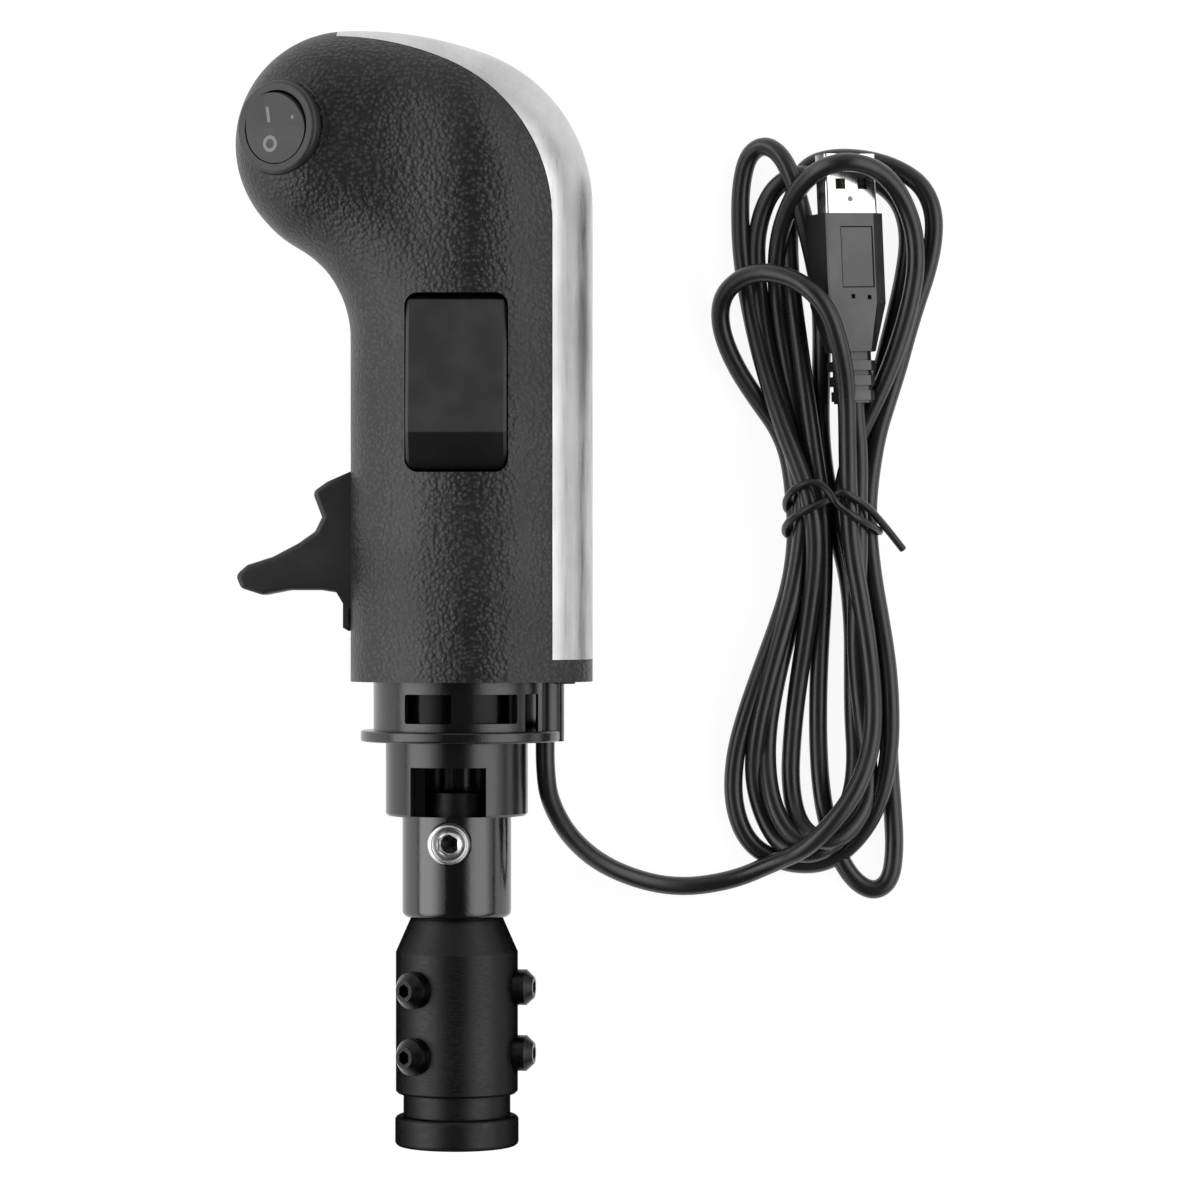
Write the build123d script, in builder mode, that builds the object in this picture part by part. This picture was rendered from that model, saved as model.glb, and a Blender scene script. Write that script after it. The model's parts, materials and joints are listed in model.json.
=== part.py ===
# Truck style gear knob with a USB lead, lying on its right side.
# Millimetres. The shaft axis is Y, with the bore mouth of the adapter at the origin.
# +Z points up from the surface that the knob lies on, and the grip's front faces -X.

from build123d import *
from math import acos, asin, atan2, cos, degrees, hypot, pi, radians, sin, sqrt, tan
import os

os.makedirs("parts", exist_ok=True)

# Fits
fit = 0.15                      # gap between fixed pieces that seat in one another
running = 0.06                  # radial gap of a pin that something turns on
free_gap = 0.4                  # gap beside a moving piece
seat_gap = 0.05                 # between faces that bear on one another

# Grip shell
grip_front_x = -21.4
grip_depth = 49.1
grip_rear_x = grip_front_x + grip_depth
grip_bottom_y = 94.7
grip_half_width = 22.0
edge_round = 17.0
wall = 2.4
head_front_x = -44.7
head_y = 203.5
head_round = 23.0
chin_round = 22.0
shoulder_y = 191.0
shoulder_round = 33.0
crown_round = 75.0

# Satin trim strip
strip_wall = 1.6
strip_gap = 0.12
strip_width = 8.1
seam_x = grip_rear_x - strip_width
seam_y = 187.0
seam_round = 35.5
seam_turn = 66.0
seam_crown_round = 60.0
strip_tip_x = -24.0
strip_bottom_y = 99.1

# Side splitter rocker
splitter_x = 0.55
splitter_low_y = 136.7
splitter_length = 35.8
splitter_y = splitter_low_y + splitter_length / 2
splitter_width = 20.7
splitter_corner = 2.7
splitter_pivot_z = grip_half_width - 4.6
splitter_travel = 14.0
cap_wall = 2.0
cap_side_gap = 0.3
cap_ridge = (-10.0, 8.0)        # along Y and up, from the pivot
cap_low_end = (0.6, 3.2)        # gap to the opening's end, height over the pivot
cap_top_end = (1.3, 3.8)
cap_skirt = 5.0                 # below the pivot
cap_low_skirt = 1.5
splitter_pin_radius = 1.5
splitter_post = 2.0
splitter_post_gap = 0.65        # from a post to the cap's side wall
housing_top_z = splitter_pivot_z - 6.2
housing_floor_z = housing_top_z - 11.2
housing_floor = 2.0
housing_wall = 1.5
plunger_radius = 1.5
plunger_tip_depth = 12.0
plunger_gap = 0.2
contact_size = (5.0, 23.0)
contact_thickness = 0.8
contact_tilt = 6.0
contact_pad = 0.3
fulcrum_radius = 0.5
terminal_gap = 10.0             # from the middle terminal to each end one
terminal_size = (0.8, 4.0)
ear_screw_radius = 1.2
ear_head = (2.1, 1.5)           # radius, height

# Round power switch
switch_tilt = 30.0
switch_x = -35.6
switch_y = 205.6
switch_sink = 2.2
bezel_radius = 9.4
bezel_thickness = 2.1
switch_hole_radius = bezel_radius - 1.5
rocker_bore = switch_hole_radius - 0.5
rocker_radius = rocker_bore - free_gap
rocker_hinge_depth = 1.2
rocker_face = (1.3, 2.2)        # over the hinge, at the middle and past the rim
rocker_skirt = 3.6
rocker_stub = 0.9
rocker_travel = 14.0
switch_depth = 13.0

# Range lever
lever_pivot = (-12.0, 121.5)
lever_half_width = 6.5
lever_hub_radius = 5.0
lever_pin_radius = 2.0
pin_boss_wall = 2.0
lever_pin_half = 15.0
lever_travel = 22.0
lever_slot = (103.6, 141.8)
ball_radius = 1.5
ball_angle = 45.0
button_travel = 1.4

# Shell screws
shell_screw_radius = 1.5
shell_screw_head = 2.7
screw_seat_z = 8.5 - grip_half_width
screw_tip_z = 7.0
boss_radius = 3.0

# Base plate, collar, hub and core
base_thickness = 1.7
collar_x = 0.8
collar_radius = 17.8
collar_wall = 1.7
collar_flange_radius = collar_radius + 2.6
collar_top_y = 94.6
collar_ring_y = 92.2
collar_window_y = 86.3
collar_flange_y = 84.7
collar_bottom_y = 82.4
window_angles = (-21.0, 25.0)
window_spread = 33.0
hub_radius = 14.5
hub_bottom_y = 67.3
hub_flange_radius = hub_radius + 2.5
hub_flange_half = hub_radius - 2.3
hub_flange = 3.0
core_radius = 11.1
core_bottom_y = 46.6
core_top_y = 104.0
core_neck_radius = core_radius - 0.7
low_screw_x = -(core_radius + boss_radius + 0.5)
shell_screw_places = [(low_screw_x, 104.2), (-14.5, 148.4), (13.4, 127.6), (-31.0, 190.0), (9.0, 199.0)]
core_neck_y = 86.0
ring_groove = 1.2
ring_groove_depth = 0.8
ring_reach = 2.4
base_screw_x = grip_rear_x - 5.7
base_screw_places = [(base_screw_x, -8.0), (base_screw_x, 8.0)]
base_screw_radius = 1.1
hub_window = (-9.0, 6.3, 77.4)  # low X, high X, top Y
clamp_screw_y = 62.0
clamp_screw_angle = -6.0
clamp_head_radius = 4.2
clamp_head = 3.6

# Shaft adapter
adapter_radius = 12.45
adapter_shoulder_y = 39.5
adapter_cone_y = 46.9
adapter_cone_radius = 9.2
adapter_groove_radius = adapter_radius - 1.55
adapter_groove = (6.2, 10.7)
adapter_flange_radius = adapter_radius + 0.15
adapter_spigot_radius = 6.9
adapter_spigot_y = 72.0
core_bore = adapter_spigot_radius + 0.5
shaft_bore_radius = 6.5
shaft_bore_depth = 40.0
adapter_screw_levels = (19.0, 32.4)
adapter_screw_angles = (-40.0, 80.0, 200.0)
adapter_screw_radius = 2.0
adapter_head_radius = 3.65
adapter_head = 4.0
adapter_head_dome = 1.6
adapter_spot = adapter_radius - 0.45

# Cable, plug and tie
cord_radius = 1.95
cord_x = 18.0
cord_exit_y = 81.0
floor_z = -grip_half_width
channel_radius = 3.9
plug_origin = (80.4, 191.0, floor_z + 8.6)
plug_turn = 2.4
plug_roll = 26.0
overmold = (15.6, 8.0, 28.5)
relief = (9.4, 7.0, 10.6)
usb_shell_size = (12.0, 4.5, 12.4)
usb_shell_wall = 0.35
hank_height = 12.0
tie_band = (124.6, 135.4)
tie_thickness = 1.1


def polar(centre, radius, angle):
    """Point at an angle in degrees and a radius from a centre in the XY plane."""
    return (centre[0] + radius * cos(radians(angle)), centre[1] + radius * sin(radians(angle)))


def arc(centre, radius, start, stop):
    """Arc about a centre, from one angle to another, in degrees."""
    return ThreePointArc(
        polar(centre, radius, start),
        polar(centre, radius, (start + stop) / 2),
        polar(centre, radius, stop),
    )


def bearing(a, b):
    """Angle in degrees of the way from point a to point b."""
    return degrees(atan2(b[1] - a[1], b[0] - a[0]))


# Centres of the side outline's arcs. Each arc is tangent to the next.
head_centre = (head_front_x + head_round, head_y)
shoulder_centre = (grip_rear_x - shoulder_round, shoulder_y)
chin_x = grip_front_x - chin_round
chin_centre = (chin_x, head_y - sqrt((head_round + chin_round) ** 2 - (head_centre[0] - chin_x) ** 2))
crown_to_head = crown_round - head_round
crown_to_shoulder = crown_round - shoulder_round
head_to_shoulder = hypot(shoulder_centre[0] - head_centre[0], shoulder_centre[1] - head_centre[1])
crown_along = (crown_to_head**2 - crown_to_shoulder**2 + head_to_shoulder**2) / (2 * head_to_shoulder)
crown_turn = bearing(head_centre, shoulder_centre) - degrees(acos(crown_along / crown_to_head))
crown_centre = polar(head_centre, crown_to_head, crown_turn)


def grip_outline(inset, bottom):
    """Side outline of the grip, inset from its outer surface, closed at a bottom Y."""
    front = grip_front_x + inset
    rear = grip_rear_x - inset
    with BuildSketch() as outline:
        with BuildLine():
            Line((front, bottom), (front, chin_centre[1]))
            arc(chin_centre, chin_round + inset, 0, bearing(chin_centre, head_centre))
            arc(
                head_centre,
                head_round - inset,
                bearing(head_centre, chin_centre) + 360,
                bearing(crown_centre, head_centre),
            )
            arc(
                crown_centre,
                crown_round - inset,
                bearing(crown_centre, head_centre),
                bearing(crown_centre, shoulder_centre),
            )
            arc(
                shoulder_centre,
                shoulder_round - inset,
                bearing(crown_centre, shoulder_centre),
                0,
            )
            Line((rear, shoulder_y), (rear, bottom))
            Line((rear, bottom), (front, bottom))
        make_face()
    return outline.sketch


def grip_form(inset, bottom=grip_bottom_y):
    """Solid of the grip with its rounded long edges, inset from the outer surface."""
    with BuildPart() as form:
        with BuildSketch():
            add(grip_outline(inset, bottom))
        extrude(amount=grip_half_width - inset, both=True)
        rims = form.faces().filter_by(Axis.Z).edges()
        fillet(rims.filter_by(lambda e: e.center().Y > bottom + 1), radius=edge_round - inset)
    return form.part


seam_centre = (seam_x - seam_round, seam_y)
seam_crown = polar(seam_centre, seam_round - seam_crown_round, seam_turn)


def band_region(inset):
    """Everything behind and above the seam of the trim strip, grown inwards by an inset."""
    tip = strip_tip_x - inset
    low = strip_bottom_y - inset
    tip_angle = degrees(acos((tip - seam_crown[0]) / (seam_crown_round - inset)))
    tip_point = polar(seam_crown, seam_crown_round - inset, tip_angle)
    far_x = grip_rear_x + head_round
    far_y = head_y + 2 * head_round
    with BuildPart() as band:
        with BuildSketch():
            with BuildLine():
                Line((seam_x - inset, low), (seam_x - inset, seam_y))
                arc(seam_centre, seam_round - inset, 0, seam_turn)
                arc(seam_crown, seam_crown_round - inset, seam_turn, tip_angle)
                Polyline(tip_point, (tip, far_y), (far_x, far_y), (far_x, low), (seam_x - inset, low))
            make_face()
        extrude(amount=2 * grip_half_width, both=True)
    return band.part


outer_form = grip_form(0)
cavity_form = grip_form(wall, grip_bottom_y - 1)
trim_form = grip_form(wall / 2)
strip_band = band_region(0)
wall_band = band_region(wall)

# Cable way from the collar up into the grip
cord_inner_points = [
    (cord_x, cord_exit_y, 0),
    (cord_x, 93.5, 0),
    (14.2, 105.3, 0),
    (14.2, 118.0, 0),
]


def tube_along(points, radii, radius):
    """Round bar along straight runs that are joined by tangent arcs."""
    with BuildPart() as tube:
        with BuildLine() as path:
            FilletPolyline(*points, radius=radii)
        with BuildSketch(path.line ^ 0):
            Circle(radius)
        sweep()
    return tube.part


cord_inner = tube_along(cord_inner_points, [11.0, 11.0], cord_radius)
cable_way = tube_along(cord_inner_points, [11.0, 11.0], cord_radius + free_gap)

# Frame of the round switch: x runs round the head, y runs up it, z points out
switch_out = (-sin(radians(switch_tilt)), 0, cos(radians(switch_tilt)))
switch_across = (cos(radians(switch_tilt)), 0, sin(radians(switch_tilt)))
switch_slope_x = head_front_x + edge_round
switch_surface_z = (
    grip_half_width
    - edge_round
    + sqrt(edge_round**2 - (switch_x - switch_slope_x) ** 2)
)
switch_plane = Plane(
    origin=(switch_x, switch_y, switch_surface_z), x_dir=switch_across, z_dir=switch_out
)
switch_seat = switch_plane.offset(-switch_sink)

# Levels of the base plate, the hub's flange and the retaining ring above it
base_top_y = strip_bottom_y - wall - fit
base_bottom_y = base_top_y - base_thickness
base_plane = Plane(origin=(0, base_bottom_y, 0), x_dir=(1, 0, 0), z_dir=(0, -1, 0))
hub_top_y = base_top_y + fit + hub_flange
ring_groove_y = hub_top_y + fit + ring_groove
rib_thickness = 1.6
rib_width = 18.0
rib_gap = 4.2
rib_y = hub_top_y + fit + rib_thickness / 2

# Inner features of the left shell, trimmed to stay inside its skin
splitter_ear_reach = 3.2
ear_y = (
    splitter_y - splitter_length / 2 - splitter_ear_reach,
    splitter_y + splitter_length / 2 + splitter_ear_reach,
)
ear_boss_radius = 2.6
with BuildPart() as left_inside:
    with BuildSketch():
        with Locations(*shell_screw_places):
            Circle(boss_radius)
    extrude(amount=grip_half_width)
    with BuildSketch(Plane.XY.offset(lever_half_width + free_gap)):
        with Locations(lever_pivot):
            Circle(lever_pin_radius + pin_boss_wall)
    extrude(amount=grip_half_width)
    with BuildSketch(Plane.XY.offset(housing_top_z + fit)):
        with Locations((splitter_x, ear_y[0]), (splitter_x, ear_y[1])):
            Circle(ear_boss_radius)
    extrude(amount=grip_half_width)
    with BuildSketch(Plane.XY.offset(core_neck_radius + rib_gap)):
        with Locations((0, rib_y)):
            Rectangle(rib_width, rib_thickness)
    extrude(amount=grip_half_width)
    add(trim_form, mode=Mode.INTERSECT)

# Hollow shared by both shell halves
with BuildPart() as hollow:
    add(cavity_form)
    add(wall_band, mode=Mode.SUBTRACT)

with BuildPart() as switch_boss:
    with BuildSketch(switch_seat):
        Circle(bezel_radius + 0.7)
    extrude(amount=-4)

slot_middle = (lever_slot[0] + lever_slot[1]) / 2
slot_size = (9.0, lever_slot[1] - lever_slot[0], 2 * (lever_half_width + free_gap))

# Left shell: faces the camera, carries both rockers
with BuildPart() as left_shell:
    add(outer_form)
    add(switch_boss.part)
    add(strip_band, mode=Mode.SUBTRACT)
    add(hollow.part, mode=Mode.SUBTRACT)
    split(bisect_by=Plane.XY, keep=Keep.TOP)
    add(left_inside.part)
    with BuildSketch(switch_seat):
        Circle(bezel_radius + fit)
    extrude(amount=2 * switch_sink, mode=Mode.SUBTRACT)
    with BuildSketch(switch_plane):
        Circle(switch_hole_radius + fit)
    extrude(amount=-switch_depth - 4, mode=Mode.SUBTRACT)
    with BuildSketch(Plane.XY.offset(housing_top_z + 4)):
        with Locations((splitter_x, splitter_y)):
            RectangleRounded(splitter_width, splitter_length, splitter_corner)
    extrude(amount=grip_half_width, mode=Mode.SUBTRACT)
    with Locations((grip_front_x, slot_middle, 0)):
        Box(*slot_size, mode=Mode.SUBTRACT)
    with BuildSketch():
        with Locations(*shell_screw_places):
            Circle(shell_screw_radius - 0.3)
    extrude(amount=screw_tip_z + 1, mode=Mode.SUBTRACT)
    with BuildSketch():
        with Locations(lever_pivot):
            Circle(lever_pin_radius + running)
    extrude(amount=lever_pin_half + fit, mode=Mode.SUBTRACT)
    with BuildSketch(Plane.XY.offset(housing_top_z)):
        with Locations((splitter_x, ear_y[0]), (splitter_x, ear_y[1])):
            Circle(ear_screw_radius - 0.2)
    extrude(amount=6, mode=Mode.SUBTRACT)
    with BuildSketch(base_plane):
        with Locations(*base_screw_places):
            Circle(base_screw_radius + running)
    extrude(amount=-base_thickness - wall - 1, mode=Mode.SUBTRACT)
    add(cable_way, mode=Mode.SUBTRACT)
left_shell.part.label = "left_shell"
export_step(left_shell.part, "parts/left_shell.step")

# Inner features of the right shell: screw posts, lever pin boss, switch saddle,
# cable saddle, detent block, board posts and the rib over the hub's flange
board_z = 8.4 - grip_half_width
board_low = (-6.0, 140.0)
board_size = (20.0, 42.0)
board_thickness = 1.6
board_top_z = board_z + board_thickness + seat_gap
board_face_z = board_top_z + 0.02
board_hole_inset = 3.0
board_middle = (board_low[0] + board_size[0] / 2, board_low[1] + board_size[1] / 2)
board_hole_gap = (board_size[0] - 2 * board_hole_inset, board_size[1] - 2 * board_hole_inset)
micro_low = (-9.0, 108.4)
micro_size = (12.8, 6.5, 5.8)
micro_middle = (micro_low[0] + micro_size[0] / 2, micro_low[1] + micro_size[1] / 2)
micro_peg_y = micro_low[1] + 1.9
micro_peg_gap = 6.5
micro_peg_radius = 0.95
micro_saddle = 4.6
micro_blade = (1.6, 2.8, 0.5)
clamp_low = (6.0, 108.4)
clamp_size = (11.0, 7.0)
clamp_middle = (clamp_low[0] + clamp_size[0] / 2, clamp_low[1] + clamp_size[1] / 2)
clamp_bolt_x = 8.6
cord_in_x = cord_inner_points[-1][0]
ball_distance = lever_hub_radius + ball_radius + 0.1
ball_way = Vector(cos(radians(ball_angle)), sin(radians(ball_angle)), 0)
lever_centre = Vector(*lever_pivot, 0)
ball_centre = lever_centre + ball_way * ball_distance
detent_start = lever_centre + ball_way * (ball_distance + 0.6)
detent_length = 9.5
detent_width = 6.0
detent_plane = Plane(origin=detent_start, x_dir=(0, 0, 1), z_dir=ball_way)
spring_depth = 7.0

with BuildPart() as right_inside:
    with BuildSketch():
        with Locations(*shell_screw_places):
            Circle(boss_radius)
    extrude(amount=-grip_half_width)
    with BuildSketch(Plane.XY.offset(screw_seat_z + 2)):
        with Locations(*shell_screw_places):
            Circle(shell_screw_head + 1.3)
    extrude(amount=-grip_half_width)
    with BuildSketch(Plane.XY.offset(-lever_half_width - free_gap)):
        with Locations(lever_pivot):
            Circle(lever_pin_radius + pin_boss_wall)
    extrude(amount=-grip_half_width)
    with BuildSketch(Plane.XY.offset(-micro_size[2] / 2 - fit)):
        with Locations((micro_middle[0], micro_low[1] + micro_saddle / 2)):
            Rectangle(micro_size[0], micro_saddle)
    extrude(amount=-grip_half_width)
    with BuildSketch(Plane.XY.offset(-micro_size[2] / 2 - fit)):
        with Locations((micro_middle[0], micro_peg_y)):
            with GridLocations(micro_peg_gap, 1, 2, 1):
                Circle(micro_peg_radius)
    extrude(amount=micro_size[2] + 1)
    with BuildSketch(Plane.XY.offset(-cord_radius + 0.2)):
        with Locations(clamp_middle):
            Rectangle(*clamp_size)
    extrude(amount=-grip_half_width)
    with BuildSketch(detent_plane):
        with Locations((-grip_half_width / 2, 0)):
            Rectangle(grip_half_width + detent_width, detent_width)
    extrude(amount=detent_length)
    with BuildSketch(Plane.XY.offset(board_z)):
        with Locations(board_middle):
            with GridLocations(*board_hole_gap, 2, 2):
                Circle(2.2)
    extrude(amount=-grip_half_width)
    with BuildSketch(Plane.XY.offset(-core_neck_radius - rib_gap)):
        with Locations((0, rib_y)):
            Rectangle(rib_width, rib_thickness)
    extrude(amount=-grip_half_width)
    add(trim_form, mode=Mode.INTERSECT)

# Right shell: underneath, carries the board, the lever's switch and the cable clamp
with BuildPart() as right_shell:
    add(outer_form)
    add(strip_band, mode=Mode.SUBTRACT)
    add(hollow.part, mode=Mode.SUBTRACT)
    split(bisect_by=Plane.XY, keep=Keep.BOTTOM)
    add(right_inside.part)
    with Locations((grip_front_x, slot_middle, 0)):
        Box(*slot_size, mode=Mode.SUBTRACT)
    with BuildSketch():
        with Locations(*shell_screw_places):
            Circle(shell_screw_radius + fit)
    extrude(amount=-grip_half_width, mode=Mode.SUBTRACT)
    with BuildSketch(Plane.XY.offset(screw_seat_z)):
        with Locations(*shell_screw_places):
            Circle(shell_screw_head + fit)
    extrude(amount=-grip_half_width, mode=Mode.SUBTRACT)
    with BuildSketch():
        with Locations(lever_pivot):
            Circle(lever_pin_radius + running)
    extrude(amount=-lever_pin_half - fit, mode=Mode.SUBTRACT)
    with BuildSketch(detent_plane):
        Circle(ball_radius + running)
    extrude(amount=spring_depth, mode=Mode.SUBTRACT)
    with BuildSketch(Plane.XY.offset(board_z)):
        with Locations(board_middle):
            with GridLocations(*board_hole_gap, 2, 2):
                Circle(0.9)
    extrude(amount=-5, mode=Mode.SUBTRACT)
    with BuildSketch(Plane.XY.offset(-cord_radius + 0.2)):
        with Locations((clamp_bolt_x, clamp_middle[1])):
            Circle(1.1)
    extrude(amount=-8, mode=Mode.SUBTRACT)
    with BuildSketch(base_plane):
        with Locations(*base_screw_places):
            Circle(base_screw_radius + running)
    extrude(amount=-base_thickness - wall - 1, mode=Mode.SUBTRACT)
    add(cable_way, mode=Mode.SUBTRACT)
right_shell.part.label = "right_shell"
export_step(right_shell.part, "parts/right_shell.step")

# Satin trim strip: a channel that follows the form behind the seam
strip_hollow = grip_form(strip_wall)
with BuildPart() as trim_strip:
    add(outer_form)
    add(band_region(-strip_gap), mode=Mode.INTERSECT)
    add(strip_hollow, mode=Mode.SUBTRACT)
trim_strip.part.label = "trim_strip"
export_step(trim_strip.part, "parts/trim_strip.step")

# Five self-tapping screws that close the shell from the right side
with BuildPart() as shell_screws:
    with BuildSketch(Plane.XY.offset(screw_seat_z)):
        with Locations(*shell_screw_places):
            Circle(shell_screw_head)
    extrude(amount=-2.0)
    with BuildSketch(Plane.XY.offset(screw_seat_z)):
        with Locations(*shell_screw_places):
            Circle(shell_screw_radius)
    extrude(amount=-screw_seat_z - 0.5)
    with BuildSketch(Plane.XY.offset(-1)):
        with Locations(*shell_screw_places):
            Circle(shell_screw_radius - 0.32)
    extrude(amount=screw_tip_z + 1)
    with BuildSketch(Plane.XY.offset(screw_seat_z - 2.0)):
        with Locations(*shell_screw_places):
            Rectangle(3.2, 0.7)
            Rectangle(0.7, 3.2)
    extrude(amount=1.2, mode=Mode.SUBTRACT)
shell_screws.part.label = "shell_screws"
export_step(shell_screws.part, "parts/shell_screws.step")

# Base plate under the shells
base_form = grip_form(wall + fit, base_bottom_y)
with BuildPart() as base_plate:
    add(base_form)
    split(bisect_by=Plane.XZ.offset(-base_top_y), keep=Keep.TOP)
    with BuildSketch(base_plane):
        Circle(hub_radius + fit)
    extrude(amount=-base_thickness, mode=Mode.SUBTRACT)
    with BuildSketch(base_plane):
        with Locations(*base_screw_places):
            Circle(base_screw_radius + fit)
    extrude(amount=-base_thickness, mode=Mode.SUBTRACT)
    add(cable_way, mode=Mode.SUBTRACT)
base_plate.part.label = "base_plate"
export_step(base_plate.part, "parts/base_plate.step")

# Two countersunk screws that hold the base plate to the ledge under the strip
with BuildPart() as base_screws:
    for place in base_screw_places:
        with BuildSketch(base_plane):
            with Locations(place):
                Circle(base_screw_radius)
        extrude(amount=-base_thickness - wall)
        with BuildSketch(base_plane):
            with Locations(place):
                Circle(2.2)
        extrude(amount=0.6)
base_screws.part.label = "base_screws"


def level(y):
    """Plane across the shaft at a Y, looking down the shaft, with X and Z upright."""
    return Plane(origin=(0, y, 0), x_dir=(1, 0, 0), z_dir=(0, -1, 0))


def ring_between(top, bottom, outer, inner, centre=(0, 0)):
    """Plain ring about a centre across the shaft, between two levels."""
    with BuildPart() as ring:
        with BuildSketch(level(top)):
            with Locations(centre):
                Circle(outer)
            Circle(inner, mode=Mode.SUBTRACT)
        extrude(amount=top - bottom)
    return ring.part


collar_centre = (collar_x, 0)
collar_inner = collar_radius - collar_wall
window_height = collar_ring_y - collar_window_y
window_width = 2 * collar_radius * sin(radians(window_spread / 2))
with BuildPart() as collar_ways:
    for angle in [*window_angles, *[180 - a for a in window_angles]]:
        across = Plane(
            origin=(collar_x, (collar_ring_y + collar_window_y) / 2, 0),
            x_dir=(cos(radians(angle)), 0, -sin(radians(angle))),
            z_dir=(sin(radians(angle)), 0, cos(radians(angle))),
        )
        with BuildSketch(across.offset(collar_inner / 2)):
            RectangleRounded(window_width, window_height, 0.5)
        extrude(amount=collar_radius)

# Windowed collar with its flange and cable channel
with BuildPart() as lock_collar:
    with BuildSketch(level(collar_top_y)):
        with Locations(collar_centre):
            Circle(collar_radius)
        with Locations((cord_x, 0)):
            Circle(channel_radius)
    extrude(amount=collar_top_y - collar_bottom_y)
    with BuildSketch(level(collar_flange_y)):
        with Locations(collar_centre):
            Circle(collar_flange_radius)
    extrude(amount=collar_flange_y - collar_bottom_y)
    with BuildSketch(level(collar_top_y)):
        with Locations(collar_centre):
            Circle(collar_inner)
    extrude(amount=collar_top_y - collar_flange_y, mode=Mode.SUBTRACT)
    with BuildSketch(level(collar_top_y)):
        Circle(hub_radius + fit)
    extrude(amount=collar_top_y - collar_bottom_y, mode=Mode.SUBTRACT)
    add(collar_ways.part, mode=Mode.SUBTRACT)
    with Locations((cord_x - 2.6, (collar_ring_y + collar_flange_y) / 2, collar_radius / 2)):
        Box(2.6, collar_ring_y - collar_flange_y, collar_radius, mode=Mode.SUBTRACT)
    add(cable_way, mode=Mode.SUBTRACT)
    top_ring = lock_collar.edges().filter_by(GeomType.CIRCLE).filter_by(
        lambda e: abs(e.radius - collar_flange_radius) < 0.01
    )
    fillet(top_ring, radius=0.5)
lock_collar.part.label = "lock_collar"

# Hub sleeve: flange inside the grip, rectangular window at its lower end
with BuildPart() as hub_sleeve:
    with BuildSketch(level(hub_top_y)):
        Circle(hub_flange_radius)
        Rectangle(2 * hub_flange_half, 2 * hub_flange_radius, mode=Mode.INTERSECT)
    extrude(amount=hub_flange)
    with BuildSketch(level(hub_top_y)):
        Circle(hub_radius)
        Rectangle(2 * hub_flange_half, 2 * hub_radius, mode=Mode.INTERSECT)
    extrude(amount=hub_flange + fit)
    with BuildSketch(level(base_top_y)):
        Circle(hub_radius)
    extrude(amount=base_top_y - hub_bottom_y)
    with BuildSketch(level(core_neck_y + 0.1)):
        Circle(core_radius + running)
    extrude(amount=core_neck_y - hub_bottom_y + 0.1, mode=Mode.SUBTRACT)
    with BuildSketch(level(hub_top_y)):
        Circle(core_neck_radius + running)
    extrude(amount=2 * hub_radius, mode=Mode.SUBTRACT)
    window_mid = ((hub_window[0] + hub_window[1]) / 2, (hub_window[2] + hub_bottom_y) / 2, hub_radius)
    window_size = (hub_window[1] - hub_window[0], hub_window[2] - hub_bottom_y)
    with Locations(window_mid):
        Box(window_size[0], window_size[1], hub_radius, mode=Mode.SUBTRACT)
    low_rim = hub_sleeve.edges().filter_by(GeomType.CIRCLE).filter_by(
        lambda e: abs(e.radius - hub_radius) < 0.01 and abs(e.center().Y - hub_bottom_y) < 0.01
    )
    chamfer(low_rim, length=0.5)
hub_sleeve.part.label = "hub_sleeve"

# Core tube: neck in the hub, window behind the hub's window, hole for the clamp screw
clamp_out = (sin(radians(clamp_screw_angle)), 0, cos(radians(clamp_screw_angle)))
clamp_plane = Plane(
    origin=(0, clamp_screw_y, 0), x_dir=(0, 1, 0), z_dir=clamp_out
)
clamp_seat = core_radius - 0.9
groove_floor = core_neck_radius - ring_groove_depth
ring_way = ring_between(ring_groove_y, ring_groove_y - ring_groove, core_radius, groove_floor)
with BuildPart() as core_tube:
    with BuildSketch(level(core_top_y)):
        Circle(core_neck_radius)
    extrude(amount=core_top_y - core_neck_y)
    with BuildSketch(level(core_neck_y)):
        Circle(core_radius)
    extrude(amount=core_neck_y - core_bottom_y)
    end_rim = core_tube.edges().filter_by(GeomType.CIRCLE).sort_by(Axis.Y)[0]
    fillet(end_rim, radius=1.3)
    with BuildSketch(level(core_top_y)):
        Circle(core_bore)
    extrude(amount=core_top_y - core_bottom_y, mode=Mode.SUBTRACT)
    with BuildSketch(level(core_bottom_y + 0.8)):
        Circle(adapter_cone_radius + fit)
    extrude(amount=1, mode=Mode.SUBTRACT)
    with Locations((window_mid[0], window_mid[1], core_radius)):
        Box(window_size[0], window_size[1], 1.3 * core_radius, mode=Mode.SUBTRACT)
    with BuildSketch(clamp_plane):
        Circle(2.5 + fit)
    extrude(amount=core_radius + 2, mode=Mode.SUBTRACT)
    with BuildSketch(clamp_plane.offset(clamp_seat)):
        Circle(clamp_head_radius + 0.3)
    extrude(amount=3, mode=Mode.SUBTRACT)
    add(ring_way, mode=Mode.SUBTRACT)
core_tube.part.label = "core_tube"

# Open retaining ring in the core's groove, its gap towards the cable
with BuildPart() as retaining_ring:
    with BuildSketch(level(ring_groove_y - seat_gap)):
        Circle(core_neck_radius + ring_reach)
        Circle(groove_floor + running, mode=Mode.SUBTRACT)
        with Locations((core_neck_radius, 0)):
            Rectangle(8, 9, mode=Mode.SUBTRACT)
    extrude(amount=ring_groove - 2 * seat_gap)
retaining_ring.part.label = "retaining_ring"

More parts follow.
